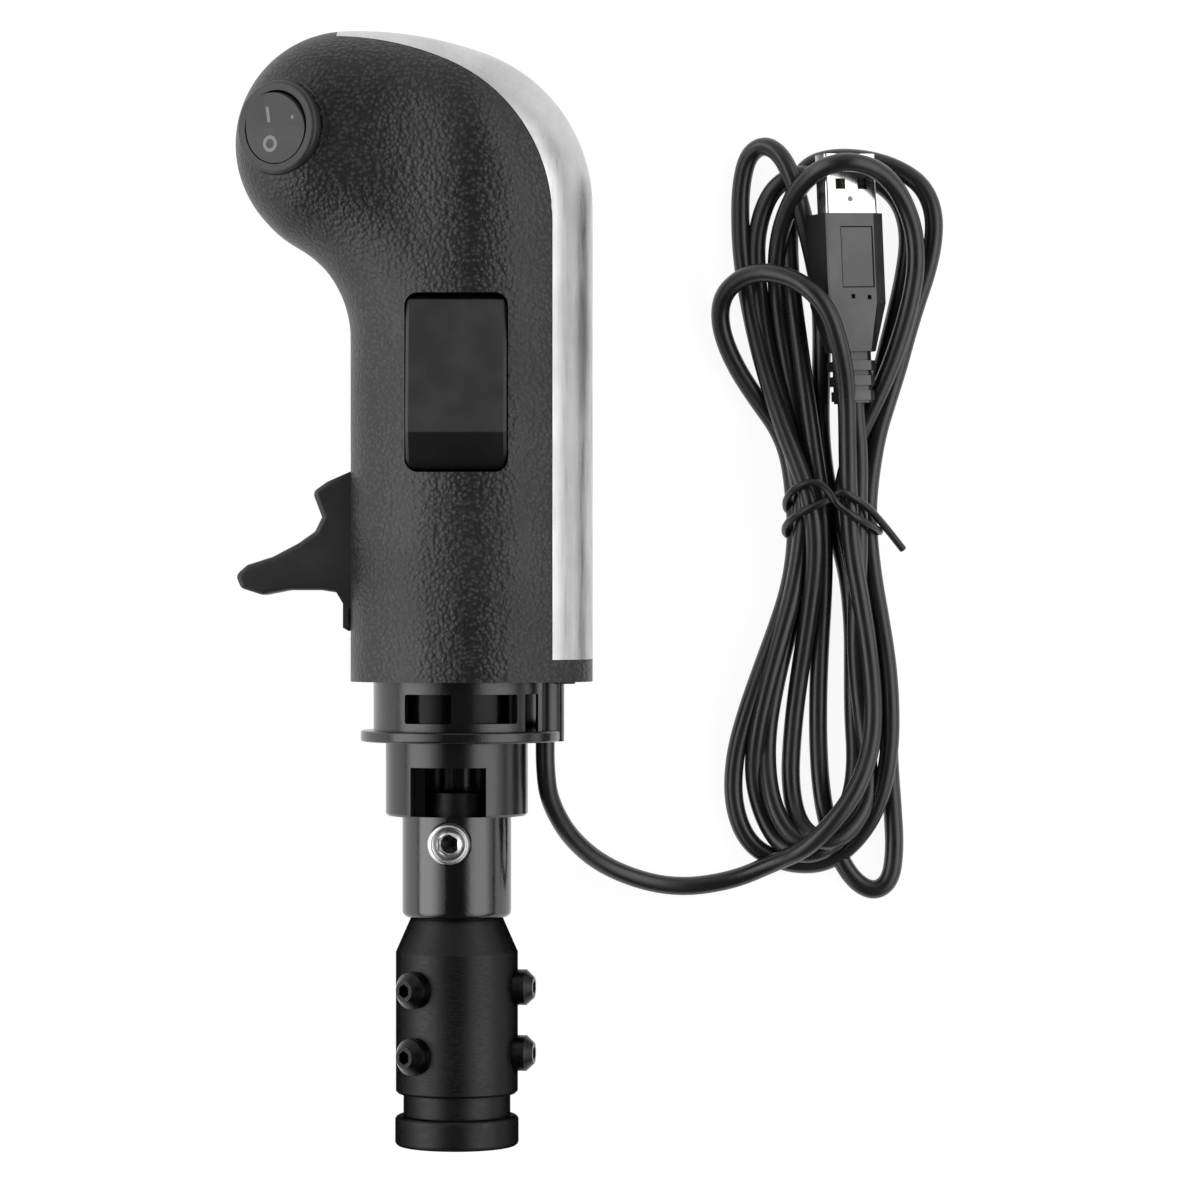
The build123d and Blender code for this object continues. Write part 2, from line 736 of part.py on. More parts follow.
# Bright cap screw that clamps the core on the adapter's spigot
with BuildPart() as clamp_screw:
    with BuildSketch(clamp_plane.offset(clamp_seat + seat_gap)):
        Circle(clamp_head_radius)
    extrude(amount=clamp_head)
    rim = clamp_screw.edges().filter_by(GeomType.CIRCLE).sort_by(Axis.Z)[-1]
    fillet(rim, radius=0.9)
    with BuildSketch(clamp_plane.offset(adapter_spigot_radius + seat_gap)):
        Circle(2.5)
    extrude(amount=clamp_seat - adapter_spigot_radius)
    with BuildSketch(clamp_plane.offset(clamp_seat + clamp_head - 2.4)):
        RegularPolygon(2.3, 6)
    extrude(amount=4, mode=Mode.SUBTRACT)
clamp_screw.part.label = "clamp_screw"

# Shaft adapter, turned, with its spigot, bore and six spot faces
with BuildPart() as shaft_adapter:
    with BuildSketch() as adapter_half:
        with BuildLine():
            Polyline(
                (0, 0),
                (adapter_flange_radius, 0),
                (adapter_flange_radius, adapter_groove[0]),
                (adapter_groove_radius, adapter_groove[0]),
                (adapter_groove_radius, adapter_groove[1]),
                (adapter_radius, adapter_groove[1]),
                (adapter_radius, adapter_shoulder_y),
                (adapter_cone_radius, adapter_cone_y),
                (adapter_spigot_radius, adapter_cone_y),
                (adapter_spigot_radius, adapter_spigot_y),
                (0, adapter_spigot_y),
                close=True,
            )
        make_face()
    revolve(axis=Axis.Y)
    flange_rims = shaft_adapter.edges().filter_by(GeomType.CIRCLE).filter_by(
        lambda e: abs(e.radius - adapter_flange_radius) < 0.01
    )
    fillet(flange_rims, radius=1.0)
    groove_rims = shaft_adapter.edges().filter_by(GeomType.CIRCLE).filter_by(
        lambda e: abs(e.radius - adapter_radius) < 0.01 and e.center().Y < adapter_shoulder_y - 1
    )
    chamfer(groove_rims, length=0.5)
    with BuildSketch(level(0)):
        Circle(shaft_bore_radius)
    extrude(amount=-shaft_bore_depth, mode=Mode.SUBTRACT)
    for screw_y in adapter_screw_levels:
        for angle in adapter_screw_angles:
            out = (sin(radians(angle)), 0, cos(radians(angle)))
            across = Plane(origin=(0, screw_y, 0), x_dir=(0, 1, 0), z_dir=out)
            with BuildSketch(across):
                Circle(adapter_screw_radius + running)
            extrude(amount=adapter_radius + 1, mode=Mode.SUBTRACT)
            with BuildSketch(across.offset(adapter_spot)):
                Circle(adapter_head_radius + 0.2)
            extrude(amount=2, mode=Mode.SUBTRACT)
shaft_adapter.part.label = "shaft_adapter"

# Six button head screws round the adapter, in two levels
with BuildPart() as adapter_screws:
    for screw_y in adapter_screw_levels:
        for angle in adapter_screw_angles:
            out = (sin(radians(angle)), 0, cos(radians(angle)))
            across = Plane(origin=(0, screw_y, 0), x_dir=(0, 1, 0), z_dir=out)
            head_base = adapter_spot + seat_gap
            with BuildSketch(across.offset(head_base)):
                Circle(adapter_head_radius)
            extrude(amount=adapter_head - adapter_head_dome)
            with BuildSketch(across.offset(head_base + adapter_head - adapter_head_dome)):
                Circle(adapter_head_radius)
            with BuildSketch(across.offset(head_base + adapter_head)):
                Circle(adapter_head_radius - 1.5)
            loft()
            with BuildSketch(across.offset(shaft_bore_radius + 0.1)):
                Circle(adapter_screw_radius)
            extrude(amount=adapter_spot - shaft_bore_radius)
            with BuildSketch(across.offset(adapter_spot + adapter_head - 1.8)):
                RegularPolygon(1.45, 6)
            extrude(amount=3, mode=Mode.SUBTRACT)
adapter_screws.part.label = "adapter_screws"


# Range lever at rest: finger blade, shield against the grip, web, hub and switch tail
lever_blade = [
    (-19.6, 138.0),
    (-26.3, 135.1),
    (-29.1, 133.1),
    (-27.2, 128.0),
    (-28.6, 125.1),
    (-32.0, 122.7),
    (-37.1, 120.0),
    (-42.4, 118.3),
    (-44.7, 116.2),
    (-43.6, 113.6),
    (-39.2, 112.2),
    (-34.0, 113.2),
    (-27.3, 113.2),
    (-24.2, 112.7),
    (-22.9, 110.5),
    (-22.9, 105.6),
    (-21.75, 104.9),
    (-21.75, 109.5),
    (-17.0, 113.5),
    (-12.0, 116.9),
    (-9.0, 125.0),
    (-16.5, 133.0),
]
tail_turn = -8.0
with BuildPart() as range_lever:
    with BuildSketch() as blade:
        with BuildLine():
            Polyline(*lever_blade, close=True)
        make_face()
        fillet(blade.vertices().filter_by(lambda v: -45 < v.X < -27.2), radius=1.4)
    extrude(amount=lever_half_width, both=True)
    soft = range_lever.edges().filter_by(lambda e: abs(e.center().Z) > lever_half_width - 0.01)
    fillet(soft.filter_by(lambda e: e.center().X < -24.5), radius=1.2)
    with BuildSketch():
        with Locations(lever_pivot):
            Circle(lever_hub_radius)
    extrude(amount=lever_half_width, both=True)
    with BuildSketch(Plane(origin=lever_centre, x_dir=Vector(1, 0, 0).rotate(Axis.Z, tail_turn))):
        with Locations((6.6, 0)):
            Rectangle(4.4, 2.8)
    extrude(amount=2.2, both=True)
    with BuildSketch():
        with Locations(lever_pivot):
            Circle(lever_pin_radius + running)
    extrude(amount=grip_half_width, both=True, mode=Mode.SUBTRACT)
    for turn in (0, lever_travel):
        dimple = lever_centre + ball_way.rotate(Axis.Z, turn) * (lever_hub_radius + 1.1)
        with Locations(dimple):
            Sphere(ball_radius, mode=Mode.SUBTRACT)
range_lever.part.label = "range_lever"

with BuildPart() as lever_pin:
    with BuildSketch():
        with Locations(lever_pivot):
            Circle(lever_pin_radius)
    extrude(amount=lever_pin_half, both=True)
    chamfer(lever_pin.edges().filter_by(GeomType.CIRCLE), length=0.3)
lever_pin.part.label = "lever_pin"

with BuildPart() as detent_ball:
    with Locations(ball_centre):
        Sphere(ball_radius)
detent_ball.part.label = "detent_ball"


def coil_spring(plane, radius, wire, height, turns):
    """Round wire spring along a plane's normal, from its origin."""
    with BuildPart() as spring:
        with BuildLine() as path:
            Helix(pitch=height / turns, height=height, radius=radius)
        with BuildSketch(path.line ^ 0):
            Circle(wire)
        sweep(is_frenet=True)
    return spring.part.moved(plane.location)


spring_wire = 0.2
spring_start = ball_centre + ball_way * (ball_radius + spring_wire + 0.05)
with BuildPart() as detent_spring:
    add(coil_spring(
        Plane(origin=spring_start, x_dir=(0, 0, 1), z_dir=ball_way),
        ball_radius - spring_wire - 0.1,
        spring_wire,
        spring_depth + 0.6 - ball_radius - 2 * spring_wire - 0.1,
        5,
    ))
detent_spring.part.label = "detent_spring"

# Microswitch on its saddle, and the button that the lever's tail presses
with BuildPart() as lever_switch:
    with Locations((*micro_middle, 0)):
        Box(*micro_size)
    chamfer(lever_switch.edges().filter_by(Axis.Z), length=0.5)
    with Locations((micro_middle[0], micro_peg_y, 0)):
        with GridLocations(micro_peg_gap, 1, 2, 1):
            Cylinder(micro_peg_radius + running, micro_size[2] + 1, mode=Mode.SUBTRACT)
    button_x = lever_pivot[0] + 7.6
    micro_top_y = micro_low[1] + micro_size[1]
    with Locations((button_x, micro_top_y, 0)):
        Box(3.0, 4.4, 3.0, mode=Mode.SUBTRACT)
lever_switch.part.label = "lever_switch"

with BuildPart() as lever_button:
    with Locations((button_x, micro_top_y + 0.9, 0)):
        Box(2.6, 2.6, 2.6)
    fillet(lever_button.edges().filter_by(Axis.Z), radius=0.5)
lever_button.part.label = "lever_button"

with BuildPart() as lever_terminals:
    for step in (-1, 0, 1):
        blade_y = micro_low[1] - seat_gap - micro_blade[1] / 2
        with Locations((micro_middle[0] + 5.0 * step, blade_y, 0)):
            Box(*micro_blade)
lever_terminals.part.label = "lever_terminals"

# Splitter rocker cap at rest: the top end is pressed in and the low end stands proud
pivot_yz = (splitter_y, splitter_pivot_z)
cap_top = (splitter_y + splitter_length / 2 - cap_top_end[0], splitter_pivot_z + cap_top_end[1])
cap_crest = (splitter_y + cap_ridge[0], splitter_pivot_z + cap_ridge[1])
cap_low = (splitter_y - splitter_length / 2 + cap_low_end[0], splitter_pivot_z + cap_low_end[1])
top_radius = hypot(cap_top[0] - pivot_yz[0], cap_top[1] - pivot_yz[1])
low_radius = hypot(cap_low[0] - pivot_yz[0], cap_low[1] - pivot_yz[1])
cap_half_width = splitter_width / 2 - cap_side_gap
splitter_post_x = cap_half_width - cap_wall - splitter_post_gap - splitter_post / 2
half_travel = splitter_travel / 2


def cap_profile(drop):
    """Side profile of the cap, its skirts carried down by a drop."""
    top_skirt = -degrees(asin((cap_skirt + drop) / top_radius))
    low_skirt = 180 + degrees(asin((cap_low_skirt + drop) / low_radius))
    with BuildSketch() as profile:
        with BuildLine():
            Polyline(cap_top, cap_crest, cap_low)
            arc(pivot_yz, low_radius, bearing(pivot_yz, cap_low), low_skirt)
            Line(polar(pivot_yz, low_radius, low_skirt), polar(pivot_yz, top_radius, top_skirt))
            arc(pivot_yz, top_radius, top_skirt, bearing(pivot_yz, cap_top))
        make_face()
        fillet(profile.vertices().filter_by(lambda v: v.Y > splitter_pivot_z + 2), radius=0.7)
    return profile.sketch


cap_outer = cap_profile(0)
cap_deep = cap_profile(cap_wall + 2)
plunger_down = (0, -sin(radians(half_travel)), -cos(radians(half_travel)))
plunger_plane = Plane(
    origin=(splitter_x, splitter_y, splitter_pivot_z), x_dir=(1, 0, 0), z_dir=plunger_down
)
with BuildPart() as splitter_cap:
    with BuildSketch(Plane.YZ.offset(splitter_x)):
        add(cap_outer)
    extrude(amount=cap_half_width, both=True)
    sides = splitter_cap.edges().filter_by(
        lambda e: abs(abs(e.center().X - splitter_x) - cap_half_width) < 0.01
        and e.center().Z > splitter_pivot_z + 2
    )
    chamfer(sides, length=0.6)
    with BuildSketch(Plane.XY.offset(splitter_pivot_z - cap_skirt - 2)):
        with Locations((splitter_x, splitter_y)):
            RectangleRounded(2 * cap_half_width, splitter_length - free_gap, splitter_corner - cap_side_gap)
    extrude(amount=grip_half_width, mode=Mode.INTERSECT)
    with BuildSketch(Plane.YZ.offset(splitter_x)):
        add(cap_deep)
        offset(amount=-cap_wall, kind=Kind.INTERSECTION, mode=Mode.REPLACE)
    extrude(amount=cap_half_width - cap_wall, both=True, mode=Mode.SUBTRACT)
    with BuildSketch(plunger_plane.offset(-5)):
        Circle(plunger_radius + 1.1)
    extrude(amount=14)
    with BuildSketch(plunger_plane.offset(-3.4)):
        Circle(plunger_radius + 0.05)
    extrude(amount=14, mode=Mode.SUBTRACT)
    with BuildSketch(Plane.YZ.offset(splitter_x)):
        with Locations(pivot_yz):
            Circle(splitter_pin_radius + running)
    extrude(amount=-splitter_width, mode=Mode.SUBTRACT)
    with BuildSketch(Plane.YZ.offset(splitter_x + cap_half_width - cap_wall - 1)):
        with Locations(pivot_yz):
            Circle(splitter_pin_radius + running)
    extrude(amount=splitter_width, mode=Mode.SUBTRACT)
splitter_cap.part.label = "splitter_cap"


# Splitter housing under the opening: box with ears, and two posts inside the cap
contact_centre_z = splitter_pivot_z - plunger_tip_depth - plunger_gap
ear_thickness = 2.0
with BuildPart() as splitter_housing:
    with BuildSketch(Plane.XY.offset(housing_floor_z)):
        with Locations((splitter_x, splitter_y)):
            RectangleRounded(splitter_width - 2, splitter_length, 1.2)
    extrude(amount=housing_top_z - housing_floor_z)
    with BuildSketch(Plane.XY.offset(housing_floor_z + housing_floor)):
        with Locations((splitter_x, splitter_y)):
            Rectangle(splitter_width - 2 - 2 * housing_wall, splitter_length - 2 * housing_wall)
    extrude(amount=housing_top_z, mode=Mode.SUBTRACT)
    with BuildSketch(Plane.XY.offset(housing_top_z)):
        for y in ear_y:
            with Locations((splitter_x, (y + splitter_y) / 2)):
                Rectangle(7.0, abs(y - splitter_y))
            with Locations((splitter_x, y)):
                Circle(3.5)
        with Locations((splitter_x, splitter_y)):
            Rectangle(splitter_width, splitter_length - 2 * housing_wall, mode=Mode.SUBTRACT)
    extrude(amount=-ear_thickness)
    with BuildSketch(Plane.XY.offset(housing_top_z)):
        with Locations((splitter_x, ear_y[0]), (splitter_x, ear_y[1])):
            Circle(ear_screw_radius + fit)
    extrude(amount=-3.0, mode=Mode.SUBTRACT)
    for side in (-1, 1):
        post_plane = Plane.YZ.offset(splitter_x + side * splitter_post_x)
        with BuildSketch(post_plane):
            with Locations(pivot_yz):
                Circle(3.0)
            with Locations((splitter_y, (splitter_pivot_z + housing_floor_z) / 2 + 0.5)):
                Rectangle(6.0, splitter_pivot_z - housing_floor_z - 1)
            with Locations(pivot_yz):
                Circle(splitter_pin_radius + 0.03, mode=Mode.SUBTRACT)
        extrude(amount=splitter_post / 2, both=True)
    for y in (-terminal_gap, 0.0, terminal_gap):
        with Locations((splitter_x, splitter_y + y, housing_floor_z + 1)):
            Box(terminal_size[0] + 0.1, terminal_size[1] + 0.1, 3, mode=Mode.SUBTRACT)
splitter_housing.part.label = "splitter_housing"

# Two short pivot pins through the posts and the cap's side walls
with BuildPart() as splitter_pins:
    for side in (-1, 1):
        with BuildSketch(Plane.YZ.offset(splitter_x + side * (splitter_post_x - 1))):
            with Locations(pivot_yz):
                Circle(splitter_pin_radius)
        extrude(amount=side * (cap_half_width - splitter_post_x + 0.4))
splitter_pins.part.label = "splitter_pins"

with BuildPart() as splitter_plunger:
    with BuildSketch(plunger_plane.offset(4.5)):
        Circle(plunger_radius)
    extrude(amount=plunger_tip_depth - 4.5)
    tip = splitter_plunger.edges().filter_by(GeomType.CIRCLE).sort_by(Axis.Z)[0]
    fillet(tip, radius=1.2)
splitter_plunger.part.label = "splitter_plunger"

with BuildPart() as splitter_spring:
    add(coil_spring(
        plunger_plane.offset(-3.1),
        plunger_radius - spring_wire - 0.05,
        spring_wire,
        7.3,
        6,
    ))
splitter_spring.part.label = "splitter_spring"

# Rocking contact, tilted against the cap. Its rolled rib rocks on the middle terminal.
contact_axis_z = contact_centre_z - contact_thickness
contact_plane = Plane(
    origin=(splitter_x, splitter_y, contact_axis_z),
    x_dir=(1, 0, 0),
    z_dir=(0, -sin(radians(contact_tilt)), cos(radians(contact_tilt))),
)
with BuildPart() as splitter_contact:
    with BuildSketch(contact_plane):
        RectangleRounded(*contact_size, 1.0)
    extrude(amount=contact_thickness)
    with BuildSketch(contact_plane):
        with Locations((0, -terminal_gap), (0, terminal_gap)):
            Circle(1.4)
    extrude(amount=-contact_pad)
    with BuildSketch(Plane.YZ.offset(splitter_x)):
        with Locations((splitter_y, contact_axis_z)):
            Circle(fulcrum_radius)
    extrude(amount=contact_size[0] / 2, both=True)
splitter_contact.part.label = "splitter_contact"

end_terminal_z = contact_axis_z - 1.6
middle_terminal_z = contact_axis_z - fulcrum_radius - seat_gap
terminal_tip_z = (housing_floor_z + board_top_z) / 2
with BuildPart() as splitter_terminals:
    for y, top in (
        (-terminal_gap, end_terminal_z),
        (0.0, middle_terminal_z),
        (terminal_gap, end_terminal_z),
    ):
        with BuildSketch(Plane.XY.offset(top)):
            with Locations((splitter_x, splitter_y + y)):
                Rectangle(*terminal_size)
        extrude(amount=terminal_tip_z - top)
splitter_terminals.part.label = "splitter_terminals"

with BuildPart() as splitter_screws:
    with BuildSketch(Plane.XY.offset(housing_top_z - ear_thickness - seat_gap)):
        with Locations((splitter_x, ear_y[0]), (splitter_x, ear_y[1])):
            Circle(ear_head[0])
    extrude(amount=-ear_head[1])
    with BuildSketch(Plane.XY.offset(housing_top_z - ear_thickness - seat_gap)):
        with Locations((splitter_x, ear_y[0]), (splitter_x, ear_y[1])):
            Circle(ear_screw_radius - 0.25)
    extrude(amount=7.0)
splitter_screws.part.label = "splitter_screws"

# Power switch: body with its bezel, rocker with two stub pins, two blades
bezel_base = switch_seat.offset(seat_gap)
rocker_hinge_plane = bezel_base.offset(bezel_thickness - rocker_hinge_depth)
rocker_hinge = rocker_hinge_plane.origin
rocker_up = rocker_hinge_plane.z_dir.rotate(Axis((0, 0, 0), switch_across), rocker_travel / 2)
rocker_rest = Plane(origin=rocker_hinge, x_dir=switch_across, z_dir=rocker_up)
rocker_sweep = rocker_bore - fit
rocker_end = rocker_bore + 1.6
with BuildPart() as power_switch:
    with BuildSketch(bezel_base):
        Circle(bezel_radius)
    extrude(amount=bezel_thickness)
    rim = power_switch.edges().filter_by(GeomType.CIRCLE).group_by(Axis.Z)[-1]
    fillet(rim, radius=0.9)
    with BuildSketch(bezel_base):
        Circle(switch_hole_radius)
    extrude(amount=-switch_depth)
    with BuildSketch(bezel_base.offset(-6.5)):
        Circle(rocker_bore)
    extrude(amount=12, mode=Mode.SUBTRACT)
    with BuildSketch(Plane(origin=rocker_hinge, z_dir=switch_across)):
        Circle(rocker_stub + running)
    extrude(amount=switch_hole_radius - 0.1, both=True, mode=Mode.SUBTRACT)
power_switch.part.label = "power_switch"

with BuildPart() as power_rocker:
    with BuildSketch(rocker_rest.offset(-rocker_skirt)):
        Circle(rocker_radius)
    extrude(amount=rocker_skirt + rocker_face[1])
    with BuildSketch(Plane(origin=rocker_hinge, x_dir=rocker_rest.y_dir, z_dir=switch_across)):
        Circle(rocker_sweep)
        with BuildLine():
            Polyline(
                (-rocker_end, rocker_end),
                (-rocker_end, rocker_face[1]),
                (0, rocker_face[0]),
                (rocker_end, rocker_face[1]),
                (rocker_end, rocker_end),
                close=True,
            )
        make_face(mode=Mode.SUBTRACT)
    extrude(amount=rocker_radius, both=True, mode=Mode.INTERSECT)
    with BuildSketch(Plane(origin=rocker_hinge, z_dir=switch_across)):
        Circle(rocker_stub)
    extrude(amount=switch_hole_radius - fit - 0.1, both=True)
power_rocker.part.label = "power_rocker"

with BuildPart() as power_terminals:
    with BuildSketch(bezel_base.offset(-switch_depth - 0.02)):
        with Locations((-3.5, 0), (3.5, 0)):
            Rectangle(0.8, 4.8)
    extrude(amount=-6.5)
power_terminals.part.label = "power_terminals"

# Controller board with its chip, crystal, sockets and screws
with BuildPart() as controller_board:
    with BuildSketch(Plane.XY.offset(board_z + seat_gap)):
        with Locations(board_middle):
            Rectangle(*board_size)
            with GridLocations(*board_hole_gap, 2, 2):
                Circle(1.15, mode=Mode.SUBTRACT)
    extrude(amount=board_thickness)
controller_board.part.label = "controller_board"

chip_middle = (board_middle[0] - 1.5, board_middle[1] + 4)
chip_width = 7.0
chip_pins = 8
crystal_size = (7.0, 3.2, 3.0)
with BuildPart() as controller_chip:
    with BuildSketch(Plane.XY.offset(board_top_z + 0.2)):
        with Locations(chip_middle):
            Rectangle(chip_width, chip_width)
    extrude(amount=1.2)
    chamfer(controller_chip.edges().group_by(Axis.Z)[-1], length=0.2)
    with BuildSketch(Plane.XY.offset(board_face_z)):
        with Locations(chip_middle):
            with GridLocations(chip_width + 1, 0.8, 2, chip_pins):
                Rectangle(1.0, 0.35)
            with GridLocations(0.8, chip_width + 1, chip_pins, 2):
                Rectangle(0.35, 1.0)
            Rectangle(chip_width, chip_width)
    extrude(amount=0.3)
controller_chip.part.label = "controller_chip"

with BuildPart() as board_crystal:
    with BuildSketch(Plane.XY.offset(board_face_z)):
        with Locations((chip_middle[0] - 5.4, chip_middle[1] - 9.5)):
            SlotOverall(crystal_size[0], crystal_size[1], rotation=90)
    extrude(amount=crystal_size[2])
board_crystal.part.label = "board_crystal"

socket_size = (5.6, 4.4, 5.0)
socket_wall = 0.6
socket_places = {
    "lever": (board_low[0] + 10.0, board_low[1] + 10.6),
    "cable": (board_low[0] + 16.4, board_low[1] + 10.6),
    "splitter": (board_low[0] + 16.6, board_low[1] + 21.0),
    "power": (board_low[0] + 4.2, board_low[1] + 34.0),
}
socket_top_z = board_face_z + socket_size[2]
with BuildPart() as board_sockets:
    for place in socket_places.values():
        with BuildSketch(Plane.XY.offset(board_face_z)):
            with Locations(place):
                Rectangle(socket_size[0], socket_size[1])
        extrude(amount=socket_size[2])
        with BuildSketch(Plane.XY.offset(socket_top_z)):
            with Locations(place):
                Rectangle(socket_size[0] - 2 * socket_wall, socket_size[1] - 2 * socket_wall)
        extrude(amount=2 * socket_wall - socket_size[2], mode=Mode.SUBTRACT)
board_sockets.part.label = "board_sockets"

with BuildPart() as board_screws:
    with BuildSketch(Plane.XY.offset(board_face_z)):
        with Locations(board_middle):
            with GridLocations(*board_hole_gap, 2, 2):
                Circle(1.9)
    extrude(amount=1.3)
    with BuildSketch(Plane.XY.offset(board_face_z)):
        with Locations(board_middle):
            with GridLocations(*board_hole_gap, 2, 2):
                Circle(0.85)
    extrude(amount=-5.0)
board_screws.part.label = "board_screws"

# Wire looms, each from its socket on the board to its switch
loom_radius = 1.1
loom_z = board_top_z + 1.4


def socket_loom(name, rise_z, points, radii, label):
    """Bundle of wires that rises out of a socket and follows the given points."""
    place = socket_places[name]
    start = [(*place, loom_z), (*place, rise_z)]
    loom = tube_along(start + points, radii, loom_radius)
    loom.label = label
    return loom


splitter_loom_z = (housing_floor_z + terminal_tip_z) / 2
splitter_loom = socket_loom(
    "splitter",
    splitter_loom_z,
    [(splitter_x + 1.1, splitter_y, splitter_loom_z)],
    [2.0],
    "splitter_loom",
)
switch_back = bezel_base.offset(-switch_depth - 6.7).origin
power_loom = socket_loom(
    "power",
    -2.6,
    [(-12.0, 190.0, -2.6), (switch_back.X + 1.0, switch_back.Y - 1.0, switch_back.Z - 0.6)],
    [2.0, 8.0],
    "power_loom",
)
lever_loom = socket_loom(
    "lever",
    -3.6,
    [(5.2, 131.0, -1.0), (3.0, 119.0, 6.0), (micro_middle[0], micro_low[1] + 3.4, 6.0),
     (micro_middle[0], micro_low[1] + 3.4, micro_size[2] / 2 + 0.05)],
    [1.6, 4.0, 3.0, 1.4],
    "lever_loom",
)
cable_loom = socket_loom(
    "cable",
    -3.6,
    [(8.8, 133.0, -3.0), (8.8, 124.0, -0.5), (cord_in_x, cord_inner_points[-1][1] + 3.4, 0),
     (cord_in_x, cord_inner_points[-1][1], 0)],
    [1.6, 3.0, 3.0, 1.5],
    "cable_loom",
)

# Clamp bar over the cable, with its screw
clamp_bottom_z = 0.3 - cord_radius
clamp_bridge = 1.0
clamp_bolt_radius = 1.1
with BuildPart() as cable_clamp:
    with BuildSketch(Plane.XY.offset(clamp_bottom_z)):
        with Locations(clamp_middle):
            Rectangle(clamp_size[0], clamp_size[1])
        with Locations((clamp_bolt_x, clamp_middle[1])):
            Circle(clamp_bolt_radius + fit, mode=Mode.SUBTRACT)
    extrude(amount=2 * cord_radius + clamp_bridge)
    with Locations((cord_in_x, clamp_middle[1], -1.5)):
        Box(2 * (cord_radius + 0.1), clamp_size[1], 3, mode=Mode.SUBTRACT)
    with Locations((cord_in_x, clamp_middle[1], 0)):
        Cylinder(cord_radius + 0.1, clamp_size[1], rotation=(90, 0, 0), mode=Mode.SUBTRACT)
cable_clamp.part.label = "cable_clamp"
clamp_head_z = clamp_bottom_z + 2 * cord_radius + clamp_bridge + 0.03

with BuildPart() as clamp_bolt:
    with BuildSketch(Plane.XY.offset(clamp_head_z)):
        with Locations((clamp_bolt_x, clamp_middle[1])):
            Circle(2.1)
    extrude(amount=1.5)
    with BuildSketch(Plane.XY.offset(clamp_head_z)):
        with Locations((clamp_bolt_x, clamp_middle[1])):
            Circle(clamp_bolt_radius - 0.1)
    extrude(amount=-10.0)
clamp_bolt.part.label = "clamp_bolt"

cord_inner.label = "cord_inner"

# Lead from the collar to the hank, laid down on the floor
lead_low_z = floor_z + cord_radius + 0.05
lead_points = [
    (cord_x, cord_exit_y, 0),
    (cord_x, 76.0, 0),
    (19.0, 69.5, -2.5),
    (23.5, 61.5, -8.5),
    (31.5, 55.0, -15.5),
    (44.0, 51.0, lead_low_z),
    (56.5, 52.5, lead_low_z),
    (64.8, 56.8, lead_low_z),
]


def full_radii(points):
    """For each corner, 0.45 of the shorter run over the tangent of half the turn."""
    radii = []
    for before, corner, after in zip(points, points[1:], points[2:]):
        run_in = Vector(*corner) - Vector(*before)
        run_out = Vector(*after) - Vector(*corner)
        turn = run_in.get_angle(run_out)
        radii.append(0.45 * min(run_in.length, run_out.length) / tan(radians(turn / 2)))
        print("corner", corner, "turn", round(turn, 1), "radius", round(radii[-1], 1))
    return radii


lead_radii = full_radii(lead_points)
cord_lead = tube_along(lead_points, lead_radii, cord_radius)
cord_lead.label = "cord_lead"
with BuildLine() as lead_path:
    FilletPolyline(*lead_points, radius=lead_radii)
lead_length = lead_path.wire().length
print("lead length", round(lead_length, 1))
print("lead volume", round(cord_lead.volume, 1), "of", round(pi * cord_radius**2 * lead_length, 1))

# USB plug, turned and rolled as it lies in the hank. Its local y points to the tip.
plug_along = (-sin(radians(plug_turn)), cos(radians(plug_turn)), 0)
plug_up = (
    sin(radians(plug_roll)) * cos(radians(plug_turn)),
    sin(radians(plug_roll)) * sin(radians(plug_turn)),
    cos(radians(plug_roll)),
)
plug_across = Vector(*plug_along).cross(Vector(*plug_up))
plug_plane = Plane(origin=plug_origin, x_dir=plug_across, z_dir=plug_up)
shell_plane = Plane(origin=plug_plane.origin, x_dir=plug_plane.x_dir, z_dir=plug_plane.y_dir)
back_plane = Plane(origin=plug_plane.origin, x_dir=plug_plane.x_dir, z_dir=-plug_plane.y_dir)
body_straight = 18.6
body_corner = 2.2
relief_rings = 3
relief_core = (relief[0] - 2.0, relief[1] - 1.6)
with BuildPart() as usb_overmold:
    with BuildSketch(back_plane):
        RectangleRounded(overmold[0], overmold[1], body_corner)
    extrude(amount=body_straight)
    with BuildSketch(back_plane.offset(body_straight)):
        RectangleRounded(overmold[0], overmold[1], body_corner)
    with BuildSketch(back_plane.offset(overmold[2])):
        RectangleRounded(relief[0], relief[1], body_corner)
    loft()
    with BuildSketch(back_plane.offset(overmold[2])):
        RectangleRounded(*relief_core, 2.0)
    extrude(amount=relief[2])
    for step in range(relief_rings):
        with BuildSketch(back_plane.offset(overmold[2] + 1.9 + 3.1 * step)):
            RectangleRounded(relief[0] - 0.3 - 0.5 * step, relief[1] - 0.2 - 0.3 * step, 2.0)
        extrude(amount=2.0)
    with BuildSketch(shell_plane.offset(-3)):
        Rectangle(usb_shell_size[0] + 0.1, usb_shell_size[1] + 0.1)
    extrude(amount=4, mode=Mode.SUBTRACT)
usb_overmold.part.label = "usb_overmold"

shell_depth = 2.8
shell_inside = (usb_shell_size[0] - 2 * usb_shell_wall, usb_shell_size[1] - 2 * usb_shell_wall)
latch_window = (2.3, 2.2)
latch_place = (2.6, 6.2)
with BuildPart() as usb_shell:
    with BuildSketch(shell_plane.offset(-shell_depth)):
        RectangleRounded(usb_shell_size[0], usb_shell_size[1], 0.6)
        RectangleRounded(*shell_inside, 0.3, mode=Mode.SUBTRACT)
    extrude(amount=usb_shell_size[2] + shell_depth)
    with BuildSketch(plug_plane):
        with Locations((-latch_place[0], latch_place[1]), latch_place):
            Rectangle(*latch_window)
    extrude(amount=usb_shell_size[1], both=True, mode=Mode.SUBTRACT)
usb_shell.part.label = "usb_shell"

